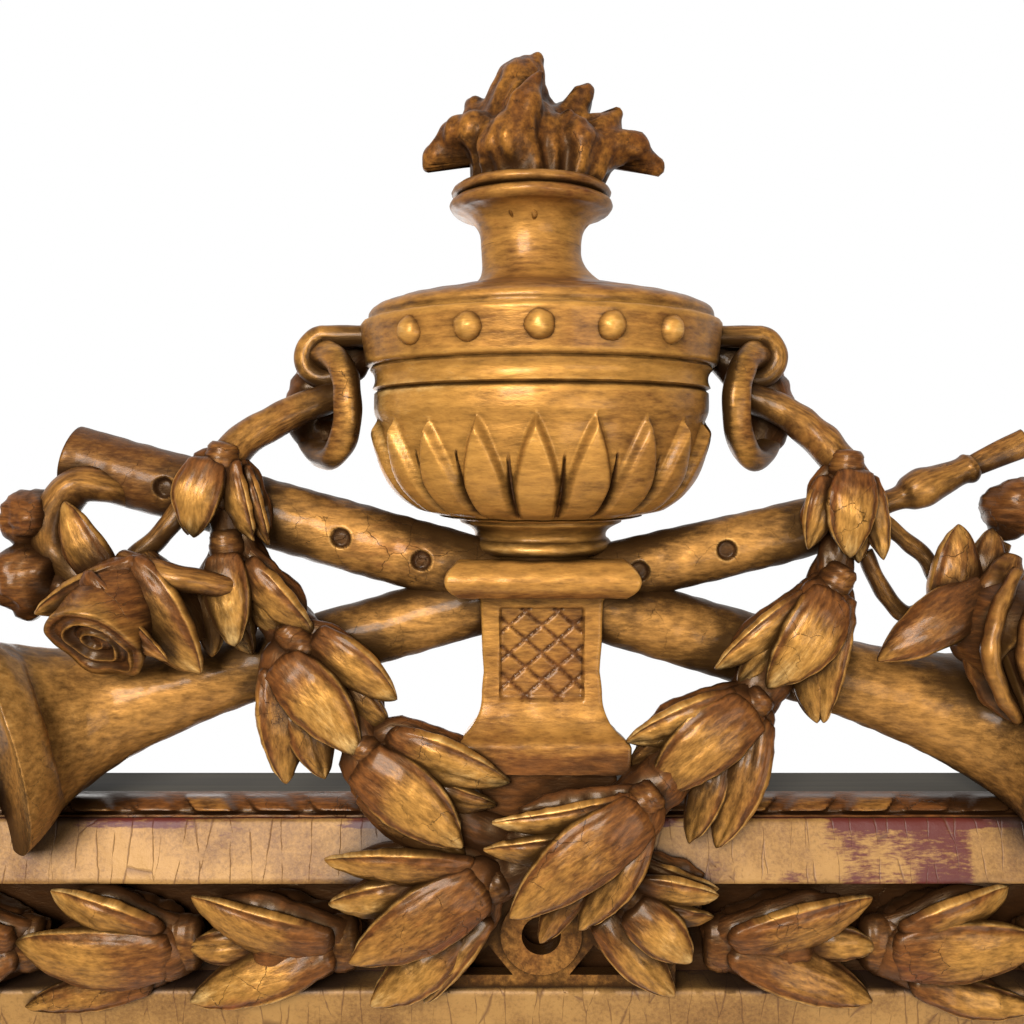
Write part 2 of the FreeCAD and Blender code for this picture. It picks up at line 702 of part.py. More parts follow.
# Handles: a fixed loop on the rim and the ring carved through it
urn_parts = [nodes[name] for name in ("urn_rim", "urn_bowl", "urn_shoulder", "urn_foot", "pedestal")]
for name, side in (("left", -1), ("right", 1)):
    middle = crest(side * loop_out, urn_proud, loop_level)
    bow = Part.makeTorus(loop_radius, loop_wire, middle, V(0, 1, 0))
    inner = block(2 * loop_radius + 2 * loop_wire, reach, -reach, reach,
                  side * (loop_out - loop_radius - loop_wire), frame_top)
    legs = []
    for end in (-1, 1):
        foot = crest(side * loop_root, urn_proud, loop_level + end * loop_radius)
        legs.append(Part.makeCylinder(loop_wire, loop_out - loop_root, foot, V(side, 0, 0)))
    middle = crest(side * handle_out, handle_proud, handle_level)
    turn = math.radians(handle_turn)
    axis = V(side * math.sin(turn), -math.cos(turn), 0)
    ring = Part.makeTorus(handle_radius, handle_wire, middle, axis)
    loop = bow.cut(inner).multiFuse(legs + [ring])
    nodes["urn_handle_" + name] = carve(loop, urn_parts)


# Shawms in four lengths that meet the pedestal, with bells and one mouthpiece
def pierced(stations, holes):
    pipe = limb(stations)
    front = max(station[1] + station[3] for station in stations)
    cuts = []
    for across, up in holes:
        start = crest(across, front + hole_depth, up)
        cuts.append(Part.makeCylinder(hole_radius, 2 * hole_depth, start, V(0, 1, 0)))
    return pipe.cut(cuts).Solids[0]


def belled(stations):
    # Pipe that flares to a bell, its mouth dished along the last stretch of the axis
    mouth = crest(*stations[-1][:3])
    inward = (crest(*stations[-2][:3]) - mouth).normalize()
    hollow = Part.makeCone(stations[-1][3] - mouth_wall, mouth_throat, mouth_depth, mouth, inward)
    return limb(stations).cut(hollow).Solids[0]


core = urn_parts + [nodes["moulding_top"]]
nodes["pipe_upper_left"] = carve(pierced(upper_left_stations, upper_left_holes), core)
nodes["pipe_upper_right"] = carve(pierced(upper_right_stations, upper_right_holes), core)
uppers = core + [nodes["pipe_upper_left"], nodes["pipe_upper_right"]]
frame_front = [nodes["moulding_top"], nodes["carcass_rail_top"], nodes["frieze_plaque"], wall]
nodes["pipe_lower_left"] = carve(belled(lower_left_stations), uppers + frame_front)
nodes["pipe_lower_right"] = carve(belled(lower_right_stations), uppers + frame_front)
reed_root = crest(*mouthpiece_stations[-1][:3])
reed_heading = (reed_root - crest(*mouthpiece_stations[-2][:3])).normalize()
reed_tip = reed_root + reed_heading * reed_length
reed_across = reed_heading.cross(V(0, -1, 0)).normalize()
reed_wires = []
for point, width in ((reed_root - reed_heading, reed_width / 2), (reed_tip, reed_width)):
    side = reed_across * (width / 2)
    out = V(0, -reed_thickness / 2, 0)
    top = Part.Arc(point - side, point + out, point + side).toShape()
    under = Part.Arc(point + side, point - out, point - side).toShape()
    reed_wires.append(Part.Wire([top, under]))
reed = Part.makeLoft(reed_wires, True, True)
nodes["mouthpiece_right"] = carve(limb(mouthpiece_stations).fuse(reed), [nodes["pipe_upper_right"]])

# Branches, garlands, friezes, roses and sprays, each cut back to what it lies on
pipes = [shape for name, shape in nodes.items() if name.startswith(("pipe", "mouthpiece"))]
handles = [shape for name, shape in nodes.items() if name.startswith("urn_handle")]
laid = core + pipes + handles + frame_front
nodes["branch_left"] = carve(limb(branch_left_stations), laid)
nodes["branch_right"] = carve(limb(branch_right_stations), laid)
laid = laid + [nodes["branch_left"], nodes["branch_right"]]
for name, (collar, leaves) in garland.items():
    across, proud, up = collar
    nodes[name] = carve(bunch(across, proud, frame_top + up, leaves), laid)
    laid.append(nodes[name])


def laurel(start, count, flip):
    # Run of bunches at the top side's place, pointing away along X
    bunches = []
    for index in range(count):
        across = start + flip * index * frieze_pitch
        kind = frieze_leaves[index % len(frieze_leaves)]
        bunches.append(bunch(across, frieze_proud, frieze_level, kind, flip))
    root = V(start, -frieze_proud, frieze_level)
    stem = Part.makeCylinder(frieze_stem, count * frieze_pitch, root, V(flip, 0, 0))
    return stem.multiFuse(bunches)


side_count = int((frame_height - 2 * frieze_corner_room) / frieze_pitch)
side_start = frieze_pitch * side_count / 2
bottom_count = int((frame_width / 2 - frieze_corner_room) / frieze_pitch)
runs = {
    "laurel_top_left": ("top", frieze_left_start, frieze_left_count, -1),
    "laurel_top_right": ("top", frieze_right_start, frieze_right_count, 1),
    "laurel_left": ("left", side_start, side_count, -1),
    "laurel_right": ("right", -side_start, side_count, 1),
    "laurel_bottom_left": ("bottom", frieze_middle_gap, bottom_count, 1),
    "laurel_bottom_right": ("bottom", -frieze_middle_gap, bottom_count, -1)}
mouldings = [nodes["moulding_" + name] for name in sides]
for name, (side, start, count, flip) in runs.items():
    nodes[name] = carve(seat(laurel(start, count, flip), side), mouldings + laid)
    laid.append(nodes[name])


def rose(at, faces):
    # Cup of petals with a hollow heart round a bud, on its short stalk
    half = rose_length / 2
    points = [
        (0, 0), (rose_stalk_radius, 0), (rose_radius, half, rose_radius, rose_length),
        (rose_radius - rose_lip, rose_length), (rose_bud_radius, rose_length - rose_hollow),
        (rose_bud_radius - rose_lip, rose_length), (0, rose_length)]
    solid = Part.Face(outline(points)).revolve(V(), V(0, 0, 1), 360)
    solid.Placement = FreeCAD.Placement(crest(*at), FreeCAD.Rotation(V(0, 0, 1), V(*faces)))
    return solid


blooms = {
    "left": (rose_left_seat, rose_left_faces, sepals_left, spray_left_leaves,
             (spray_left_stem, spray_left_twig, spray_left_stalk)),
    "right": (rose_right_seat, rose_right_faces, sepals_right, spray_right_leaves,
              (spray_right_stem, spray_right_twig, spray_right_stalk))}
for name, (at, faces, sepals, leaves, stems) in blooms.items():
    sprigs = [limb(stations) for stations in stems]
    for x, z, aim, length, width in sepals:
        sprigs.append(leaf(x, at[1] + sepal_lift, frame_top + z, aim, length, width))
    for x, z, aim, length, width in leaves:
        sprigs.append(leaf(x, spray_proud, frame_top + z, aim, length, width))
    end = crest(*stems[-1][-1][:3])
    heading = (end - crest(*stems[-1][-2][:3])).normalize()
    sprigs.append(knob(end, heading, bud_radius, bud_shares))
    nodes["rose_" + name] = carve(rose(at, faces).multiFuse(sprigs), laid)
    laid.append(nodes["rose_" + name])

os.makedirs("parts", exist_ok=True)
for name, shape in nodes.items():
    shape.exportStep(os.path.join("parts", name + ".step"))
    print(name, len(shape.Solids), round(shape.Volume), "sound" if shape.isValid() else "unsound")
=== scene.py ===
import math
from functools import partial

import bmesh
import bpy
import numpy as np
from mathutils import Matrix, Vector


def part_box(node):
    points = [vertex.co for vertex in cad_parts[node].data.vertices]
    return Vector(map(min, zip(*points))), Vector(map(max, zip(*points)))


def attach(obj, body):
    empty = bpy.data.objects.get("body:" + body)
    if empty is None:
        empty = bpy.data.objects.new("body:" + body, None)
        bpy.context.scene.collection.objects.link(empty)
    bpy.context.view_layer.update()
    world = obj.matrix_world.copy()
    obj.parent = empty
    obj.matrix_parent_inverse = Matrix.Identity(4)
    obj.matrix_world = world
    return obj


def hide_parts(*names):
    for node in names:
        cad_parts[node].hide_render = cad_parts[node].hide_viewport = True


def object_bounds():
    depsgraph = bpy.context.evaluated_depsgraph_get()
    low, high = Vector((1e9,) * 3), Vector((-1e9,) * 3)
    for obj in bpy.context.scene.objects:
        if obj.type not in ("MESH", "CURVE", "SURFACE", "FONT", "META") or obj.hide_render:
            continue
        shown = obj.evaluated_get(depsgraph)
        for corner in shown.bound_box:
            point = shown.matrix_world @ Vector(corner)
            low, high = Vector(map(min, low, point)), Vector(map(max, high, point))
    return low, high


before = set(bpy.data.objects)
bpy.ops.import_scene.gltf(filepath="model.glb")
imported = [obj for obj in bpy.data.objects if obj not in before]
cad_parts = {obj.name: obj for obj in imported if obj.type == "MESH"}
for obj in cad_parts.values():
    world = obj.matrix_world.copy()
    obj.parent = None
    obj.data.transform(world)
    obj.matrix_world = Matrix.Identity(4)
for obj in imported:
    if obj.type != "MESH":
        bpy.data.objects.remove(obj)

cadBox = [list(corner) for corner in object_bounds()]
mm = 0.001
outward = np.array([0.0, -1.0, 0.0])
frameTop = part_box("carcass_rail_top")[1].z / mm
frameLeft, frameRight = (corner.x / mm for corner in (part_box("moulding_top")[0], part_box("moulding_top")[1]))
print("frame loaded, top edge at", round(frameTop, 1), "mm")


# places in mm: right of the middle, out from the wall, above the frame's top edge
def crest(across, proud, up):
    return np.stack(np.broadcast_arrays(
        np.asarray(across, float), -np.asarray(proud, float), frameTop + np.asarray(up, float)), -1)


def unit(vectors):
    return vectors / np.maximum(np.linalg.norm(vectors, axis=-1, keepdims=True), 1e-9)


# eased step from 0 below low to 1 above high
def ease(low, high, value):
    share = np.clip((value - low) / (high - low), 0, 1)
    return share * share * (3 - 2 * share)


# bell curve about a middle
def bell(value, middle, wide):
    return np.exp(-((value - middle) / wide) ** 2)


# even turns round a full circle
def fullTurn(sides):
    return np.linspace(0, 2 * np.pi, sides, endpoint=False)


# heading in the plane of the wall, degrees up from the right
def towards(degrees):
    return np.array([math.cos(math.radians(degrees)), 0, math.sin(math.radians(degrees))])


# ring of unit spokes about a heading; the hint sets where it starts
def spokes(heading, hint, turn):
    across = unit(np.cross(heading, hint))
    return np.cos(turn)[:, None] * across + np.sin(turn)[:, None] * np.cross(heading, across)


# a grid closed at both ends by one point each
def capped(points, first, last):
    ends = [np.repeat(np.reshape(end, (1, 1, 3)), points.shape[1], 1) for end in (first, last)]
    return np.concatenate([ends[0], points, ends[1]])


# smooth seeded waviness between about -1 and 1: five sines run through space
def waviness(points, size, seed):
    draw = np.random.default_rng(seed)
    heading = unit(draw.normal(size=(5, 3))) * (2 * np.pi / size) * draw.uniform(0.7, 1.5, (5, 1))
    return np.sin(points @ heading.T + draw.uniform(0, 6.28, 5)).mean(-1) * 1.6


# normals of a grid: cross product of its two step directions
def gridNormals(points, wrap):
    padded = np.concatenate([points[:, -1:], points, points[:, :1]], 1) if wrap else points
    across = np.gradient(padded, axis=1)
    across = across[:, 1:-1] if wrap else across
    return unit(np.cross(np.gradient(points, axis=0), across))


# knife marks: the grid moves along its normals by waviness of a size in mm
def handCut(points, amount, size, seed, wrap=True):
    return points + gridNormals(points, wrap) * (amount * waviness(points, size, seed))[..., None]


# a grid of points, its share of gold at each, whether the last column joins the first, and which material
def patch(points, gold=0.5, wrap=True, uv=None, skin=0):
    return {"points": points, "gold": np.broadcast_to(gold, points.shape[:2]), "wrap": wrap, "uv": uv,
            "skin": skin}


def linkObject(name, data):
    made = bpy.data.objects.new(name, data)
    bpy.context.scene.collection.objects.link(made)
    return made


def buildPiece(name, patches, materials, stands=(), crease=180,
               body="mirror"):
    places, corners, golds, maps, skins, start = [], [], [], [], [], 0
    for part in patches:
        rows, columns = part["points"].shape[:2]
        index = np.arange(rows * columns).reshape(rows, columns) + start
        if part["wrap"]:
            index = np.concatenate([index, index[:, :1]], 1)
        around = [index[:-1, :-1], index[1:, :-1], index[1:, 1:], index[:-1, 1:]]
        corners.append(np.stack(around, -1).reshape(-1, 4))
        places.append(part["points"].reshape(-1, 3))
        golds.append(part["gold"].reshape(-1))
        front = part["points"][..., [0, 2]] * mm if part["uv"] is None else part["uv"]
        maps.append(front.reshape(-1, 2))
        skins.append(np.full(len(corners[-1]), part["skin"], np.int32))
        start += rows * columns
    corners = np.concatenate(corners)
    mesh = bpy.data.meshes.new(name)
    mesh.vertices.add(start)
    mesh.vertices.foreach_set("co", (np.concatenate(places) * mm).astype(np.float32).ravel())
    mesh.loops.add(corners.size)
    mesh.loops.foreach_set("vertex_index", corners.ravel().astype(np.int32))
    mesh.polygons.add(len(corners))
    mesh.polygons.foreach_set("loop_start", np.arange(0, corners.size, 4, dtype=np.int32))
    mesh.polygons.foreach_set("material_index", np.concatenate(skins))
    mesh.update(calc_edges=True)
    shares = mesh.attributes.new("gold", "FLOAT", "POINT")
    shares.data.foreach_set("value", np.concatenate(golds).astype(np.float32))
    layer = mesh.uv_layers.new(name="along")
    layer.data.foreach_set("uv", np.concatenate(maps)[corners.ravel()].astype(np.float32).ravel())
    work = bmesh.new()
    work.from_mesh(mesh)
    bmesh.ops.remove_doubles(work, verts=work.verts, dist=2e-6)
    bmesh.ops.recalc_face_normals(work, faces=work.faces)
    work.to_mesh(mesh)
    work.free()
    mesh.polygons.foreach_set("use_smooth", np.ones(len(mesh.polygons), bool))
    if crease < 180:
        mesh.set_sharp_from_angle(angle=math.radians(crease))
    made = linkObject(name, mesh)
    for material in materials:
        mesh.materials.append(material)
    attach(made, body)
    if stands:
        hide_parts(*stands)
    return made


# sRGB hex to linear colour
def hexColour(code):
    value = np.array([int(code[at:at + 2], 16) for at in (1, 3, 5)]) / 255
    linear = np.where(value <= 0.04045, value / 12.92, ((value + 0.055) / 1.055) ** 2.4)
    return (*linear.tolist(), 1.0)


# one node with its settings and its input values or links; gives back the named output, or the first in use
def addNode(tree, kind, inputs=(), give=None, **settings):
    made = tree.nodes.new("ShaderNode" + kind)
    for key, value in settings.items():
        setattr(made, key, value)
    for key, value in dict(inputs).items():
        if isinstance(value, bpy.types.NodeSocket):
            tree.links.new(value, made.inputs[key])
        else:
            made.inputs[key].default_value = value
    return made.outputs[give] if give else next((output for output in made.outputs if output.enabled), None)


# an empty material, and the function above set to its tree
def newMaterial(name):
    material = bpy.data.materials.new(name)
    material.use_nodes = True
    material.node_tree.nodes.clear()
    return material, partial(addNode, material.node_tree)


# oil gilding over red bole on carved limewood, toned and rubbed: gold lies on the crowns, a brown
# varnish in the hollows, fine dark specks all over, grime and painted shade where surfaces meet
giltLooks = {
    "gold": "#B8843F", "bright": "#E0B672", "tone": "#74451F", "toneDark": "#52301A", "deep": "#1C0F06",
    "bole": "#6E331D", "coatTint": "#F0D4A8", "shineTint": "#ECC08A", "grain": False, "attribute": True,
    "patchMm": 15, "mottleMm": 3.0, "speckMm": 0.9, "wornSpread": 2.2, "stretch": (1, 1, 1),
    "goldShare": 0.5, "goldSpread": 0.4, "mottle": 0.42, "patchWeight": 1.3, "fleck": 1.3,
    "brightFrom": 0.75, "brightTo": 1.3, "toneFrom": 0.28, "toneTo": 0.72,
    "speck": 0.35, "speckFrom": 0.55, "speckTo": 0.68,
    "boleShare": 0.16, "boleFrom": 0.62, "boleTo": 0.8, "boleMost": 0.7,
    "crackMm": 16, "crackShare": 0.022, "crackFrom": 0.5, "crackTo": 0.66, "crackDark": 0.8, "wanderMm": 6,
    "grime": 0.93, "grimeReachMm": 20, "grimeFrom": 0.94, "grimeTo": 1.54, "grimeMottle": 0.6,
    "metal": 0.38, "roughTone": 0.38, "roughGold": 0.4, "shine": 0.25, "coat": 0.08, "coatRough": 0.16,
    "bumpMm": 0.42, "bump": 0.6, "speckRelief": 0.5, "crackRelief": -0.8}


def giltMaterial(name, **changes):
    look = {**giltLooks, **changes}
    material, add = newMaterial(name)
    place = add("TexCoord", give="Object")
    grain = add("UVMap", uv_map="along") if look["grain"] else place
    stretched = add("Mapping", {"Vector": grain, "Scale": look["stretch"]})
    patches, mottle, specks, worn = (
        add("TexNoise", {
            "Vector": where, "Scale": 1 / (sizeMm * mm), "Detail": detail, "Roughness": rough})
        for where, sizeMm, detail, rough in (
            (place, look["patchMm"], 3.0, 0.55), (stretched, look["mottleMm"], 4.0, 0.6),
            (stretched, look["speckMm"], 3.0, 0.6),
            (stretched, look["wornSpread"] * look["patchMm"], 6.0, 0.7)))
    # gold level: the three noises in their weights about their middle, and the share laid on the mesh
    mixed = add("Math", {0: patches, 1: look["patchWeight"], 2: mottle}, operation="MULTIPLY_ADD")
    mixed = add("Math", {0: specks, 1: look["fleck"], 2: mixed}, operation="MULTIPLY_ADD")
    base = look["goldShare"] - 0.5 * (look["patchWeight"] + 1 + look["fleck"]) * look["mottle"]
    level = add("Math", {0: mixed, 1: look["mottle"], 2: base}, operation="MULTIPLY_ADD")
    if look["attribute"]:
        laid = add("Attribute", attribute_name="gold", give="Fac")
        laid = add("Math", {0: laid, 1: 0.5}, operation="SUBTRACT")
        level = add("Math", {0: level, 1: laid}, operation="ADD")
    goldShare = add("MapRange", {
        "Value": level, "From Min": 0.5 - look["goldSpread"], "From Max": 0.5 + look["goldSpread"]},
        interpolation_type="SMOOTHSTEP")
    brightShare = add("MapRange", {
        "Value": level, "From Min": look["brightFrom"], "From Max": look["brightTo"]},
        interpolation_type="SMOOTHSTEP")
    streaky = add("MapRange", {
        "Value": mottle, "From Min": look["toneFrom"], "From Max": look["toneTo"]})
    more = 0.3 * look["boleShare"]
    boleShare = add("MapRange", {
        "Value": worn, "From Min": look["boleFrom"] - more, "From Max": look["boleTo"] - more,
        "To Max": look["boleMost"]}, interpolation_type="SMOOTHSTEP")
    speckShare = add("MapRange", {
        "Value": specks, "From Min": look["speckFrom"], "From Max": look["speckTo"], "To Max": look["speck"]})
    # cracks: cell edges of a bent grid, opened where the gilding is worn
    wander = add("TexNoise", {"Vector": place, "Scale": 160.0, "Detail": 4.0}, give="Color")
    bent = add("VectorMath", {
        0: wander, 1: [look["wanderMm"] * mm] * 3, 2: place}, operation="MULTIPLY_ADD")
    gap = add("TexVoronoi", {
        "Vector": bent, "Scale": 1 / (look["crackMm"] * mm)}, feature="DISTANCE_TO_EDGE")
    gape = add("MapRange", {
        "Value": worn, "From Min": look["crackFrom"], "From Max": look["crackTo"],
        "To Max": look["crackShare"]})
    crack = add("MapRange", {
        "Value": gap, "From Max": gape, "To Min": look["crackDark"], "To Max": 0.0})
    # painted shade: ambient occlusion darkens creases and the places where parts meet towards the deep colour,
    # mottled with some grime
    hollow = add("AmbientOcclusion", {"Distance": look["grimeReachMm"] * mm}, samples=8, give="AO")
    mottledShadeAndGrime = add("Math", {0: mottle, 1: look["grimeMottle"], 2: hollow}, operation="MULTIPLY_ADD")
    shadeAndGrimeShare = add("MapRange", {
        "Value": mottledShadeAndGrime, "From Min": look["grimeFrom"], "From Max": look["grimeTo"],
        "To Min": look["grime"], "To Max": 0.0}, interpolation_type="SMOOTHSTEP")
    colour = add("Mix", {
        0: streaky, 6: hexColour(look["toneDark"]), 7: hexColour(look["tone"])}, data_type="RGBA")
    for share, over in ((goldShare, "gold"), (brightShare, "bright"), (boleShare, "bole"),
                        (speckShare, "tone"), (crack, "deep"), (shadeAndGrimeShare, "deep")):
        colour = add("Mix", {0: share, 6: colour, 7: hexColour(look[over])}, data_type="RGBA")
    rough = add("MapRange", {
        "Value": goldShare, "To Min": look["roughTone"], "To Max": look["roughGold"]})
    metal = add("Math", {0: goldShare, 1: look["metal"]}, operation="MULTIPLY")
    relief = add("Math", {0: specks, 1: look["speckRelief"], 2: mottle}, operation="MULTIPLY_ADD")
    relief = add("Math", {0: crack, 1: look["crackRelief"], 2: relief}, operation="MULTIPLY_ADD")
    bump = add("Bump", {
        "Height": relief, "Strength": look["bump"], "Distance": look["bumpMm"] * mm})
    shader = add("BsdfPrincipled", {
        "Base Color": colour, "Roughness": rough, "Metallic": metal, "Normal": bump,
        "Coat Weight": look["coat"], "Coat Roughness": look["coatRough"],
        "Coat Tint": hexColour(look["coatTint"]), "Specular IOR Level": look["shine"],
        "Specular Tint": hexColour(look["shineTint"])})
    add("OutputMaterial", {"Surface": shader})
    return material


giltCarving = giltMaterial("oil-gilt limewood, carved leaves", grain=True, stretch=(0.34, 1, 1), mottleMm=1.9)
giltTurning = giltMaterial(
    "oil-gilt limewood, turned urn", gold="#BC8740", tone="#744620", goldShare=0.53, patchMm=22,
    mottleMm=2.2, stretch=(0.25, 0.25, 1.0), roughGold=0.46, crackShare=0.0, boleShare=0.05,
    grimeReachMm=14, grimeFrom=0.66)
giltPipe = giltMaterial(
    "oil-gilt limewood, turned pipes", gold="#B48040", bright="#CFA25E", tone="#66401D", goldShare=0.57,
    mottle=0.44, patchMm=18, mottleMm=2.2, stretch=(0.34, 0.7, 1.0), roughGold=0.5, roughTone=0.46,
    crackShare=0.012, boleShare=0.05)
giltFlame = giltMaterial(
    "oil-gilt limewood, carved flame", gold="#AC7230", tone="#70431A", goldShare=0.56, patchMm=9, coat=0.02,
    shine=0.15, roughTone=0.4)
giltPlain = giltMaterial("oil-gilt limewood, plain carved", attribute=False, goldShare=0.34)


# water gilding burnished on red bole: yellow gold leaf, bole rubbed through in patches and along the
# arrises, hair cracks across the rail about 9 mm apart; reads the moulding's UV map in metres
bandLooks = {
    "gold": "#7F592B", "pale": "#966F3A", "shade": "#573817", "bole": "#4C180D", "crack": "#4A2A14",
    "deep": "#22130A", "crackAlongMm": 9, "crackAcrossMm": 70, "crackShare": 0.06, "crackFrom": 0.4,
    "crackTo": 0.7, "crackDark": 0.7, "wanderMm": 3, "patchMm": 60, "patchFrom": 0.32, "patchTo": 0.62,
    "scratchMm": 1.3, "scratchStretch": 0.22, "scratch": 0.5, "pitMm": 1.6, "pit": 0.6,
    "shadeFrom": 0.74, "shadeTo": 0.98, "shadeMost": 0.85, "boleFrom": 0.30, "boleTo": 0.46,
    "grimeReach": 0.018, "grimeFrom": 0.35, "grimeTo": 0.95, "grime": 0.95, "metal": 0.18, "rough": 0.52,
    "shine": 0.35, "bump": 0.5, "bumpReach": 0.0003}


def bandMaterial(name):
    look = bandLooks
    material, add = newMaterial(name)
    along = add("UVMap", uv_map="along")
    laid = add("Attribute", attribute_name="gold", give="Fac")
    wander = add("TexNoise", {"Vector": along, "Scale": 70.0, "Detail": 4.0}, give="Color")
    shifted = add("VectorMath", {
        0: wander, 1: (look["wanderMm"] * mm, look["wanderMm"] * mm, 0.0), 2: along},
        operation="MULTIPLY_ADD")
    cells = add("Mapping", {"Vector": shifted, "Scale": (
        1 / (look["crackAlongMm"] * mm), 1 / (look["crackAcrossMm"] * mm), 1.0)})
    gap = add("TexVoronoi", {"Vector": cells, "Scale": 1.0}, feature="DISTANCE_TO_EDGE",
              voronoi_dimensions="2D")
    broken = add("TexNoise", {"Vector": along, "Scale": 75.0, "Detail": 2.0})
    fine = add("MapRange", {
        "Value": broken, "From Min": look["crackFrom"], "From Max": look["crackTo"],
        "To Max": look["crackShare"]})
    crack = add("MapRange", {"Value": gap, "From Max": fine, "To Min": 1.0, "To Max": 0.0})
    streaks = add("Mapping", {"Vector": shifted, "Scale": (
        look["scratchStretch"] / (look["scratchMm"] * mm), 1 / (look["scratchMm"] * mm), 1.0)})
    cloud, pits, rubbed = (
        add("TexNoise", {"Vector": where, "Scale": scale, "Detail": detail, "Roughness": rough})
        for where, scale, detail, rough in (
            (along, 1 / (look["patchMm"] * mm), 7.0, 0.66), (along, 1 / (look["pitMm"] * mm), 4.0, 0.7),
            (streaks, 1.0, 5.0, 0.7)))
    goldShare = add("MapRange", {
        "Value": cloud, "From Min": look["patchFrom"], "From Max": look["patchTo"]})
    worn = add("Math", {0: pits, 1: look["pit"], 2: cloud}, operation="MULTIPLY_ADD")
    shadeShare = add("MapRange", {
        "Value": worn, "From Min": look["shadeFrom"], "From Max": look["shadeTo"],
        "To Max": look["shadeMost"]})
    bare = add("Math", {0: rubbed, 1: look["scratch"], 2: cloud}, operation="MULTIPLY_ADD")
    bare = add("Math", {0: bare, 1: laid}, operation="SUBTRACT")
    boleShare = add("MapRange", {
        "Value": bare, "From Min": look["boleFrom"], "From Max": look["boleTo"]},
        interpolation_type="SMOOTHSTEP")
    crackShare = add("Math", {0: crack, 1: look["crackDark"]}, operation="MULTIPLY")
    # painted shade: ambient occlusion darkens the rail towards the deep colour in its corners and where other
    # parts come close
    hollow = add("AmbientOcclusion", {"Distance": look["grimeReach"]}, samples=8, give="AO")
    shadeAndGrimeShare = add("MapRange", {
        "Value": hollow, "From Min": look["grimeFrom"], "From Max": look["grimeTo"],
        "To Min": look["grime"], "To Max": 0.0}, interpolation_type="SMOOTHSTEP")
    colour = add("Mix", {
        0: goldShare, 6: hexColour(look["pale"]), 7: hexColour(look["gold"])}, data_type="RGBA")
    for share, over in ((shadeShare, "shade"), (boleShare, "bole"), (crackShare, "crack"),
                        (shadeAndGrimeShare, "deep")):
        colour = add("Mix", {0: share, 6: colour, 7: hexColour(look[over])}, data_type="RGBA")
    metal = add("MapRange", {"Value": boleShare, "To Min": look["metal"], "To Max": 0.0})
    relief = add("Math", {0: crack, 1: -1.0, 2: pits}, operation="MULTIPLY_ADD")
    bump = add("Bump", {"Height": relief, "Strength": look["bump"], "Distance": look["bumpReach"]})
    shader = add("BsdfPrincipled", {
        "Base Color": colour, "Roughness": look["rough"], "Metallic": metal, "Normal": bump,
        "Specular IOR Level": look["shine"]})
    add("OutputMaterial", {"Surface": shader})
    return material


giltBand = bandMaterial("water-gilt limewood, burnished mouldings")


# sawn pine toned with thin paint or left bare: growth rings about 4 mm apart run along one axis
def pineMaterial(name, pale, dark, axis, ringMm=4.0, rough=0.75):
    material, add = newMaterial(name)
    place = add("TexCoord", give="Object")
    scale = [1 / (ringMm * mm)] * 3
    scale[axis] *= 0.03
    grain = add("Mapping", {"Vector": place, "Scale": scale})
    rings = add("TexNoise", {"Vector": grain, "Scale": 0.6, "Detail": 6.0, "Distortion": 0.6})
    cloud = add("TexNoise", {"Vector": place, "Scale": 18.0, "Detail": 4.0})
    both = add("Math", {0: cloud, 1: 0.5, 2: rings}, operation="MULTIPLY_ADD")
    share = add("MapRange", {"Value": both, "From Min": 0.5, "From Max": 1.0})
    colour = add("Mix", {0: share, 6: hexColour(pale), 7: hexColour(dark)}, data_type="RGBA")
    bump = add("Bump", {"Height": rings, "Strength": 0.4, "Distance": 0.0004})
    shader = add("BsdfPrincipled", {"Base Color": colour, "Roughness": rough, "Normal": bump})
    add("OutputMaterial", {"Surface": shader})
    return material


# metal clouded with a second tone: forged iron with faint rust, an old silvered plate with grey foxing
cloudedLooks = {
    "iron": {"clean": "#3B3836", "clouded": "#5E3A26", "scale": 160.0, "detail": 6.0, "cloudFrom": 0.5,
             "cloudTo": 0.7, "roughClean": 0.42, "roughClouded": 0.8, "metal": 0.85, "bump": 0.5},
    "plate": {"clean": "#E4E7E5", "clouded": "#8E8C84", "scale": 14.0, "detail": 8.0, "cloudFrom": 0.6,
              "cloudTo": 0.78, "roughClean": 0.03, "roughClouded": 0.3, "metal": 1.0, "bump": 0.0}}


def cloudedMaterial(name, look):
    material, add = newMaterial(name)
    place = add("TexCoord", give="Object")
    cloud = add("TexNoise", {
        "Vector": place, "Scale": look["scale"], "Detail": look["detail"], "Roughness": 0.7})
    share = add("MapRange", {
        "Value": cloud, "From Min": look["cloudFrom"], "From Max": look["cloudTo"]})
    colour = add("Mix", {
        0: share, 6: hexColour(look["clean"]), 7: hexColour(look["clouded"])}, data_type="RGBA")
    rough = add("MapRange", {
        "Value": share, "To Min": look["roughClean"], "To Max": look["roughClouded"]})
    bump = add("Bump", {"Height": cloud, "Strength": look["bump"], "Distance": 0.0003})
    shader = add("BsdfPrincipled", {
        "Base Color": colour, "Metallic": look["metal"], "Roughness": rough, "Normal": bump})
    add("OutputMaterial", {"Surface": shader})
    return material


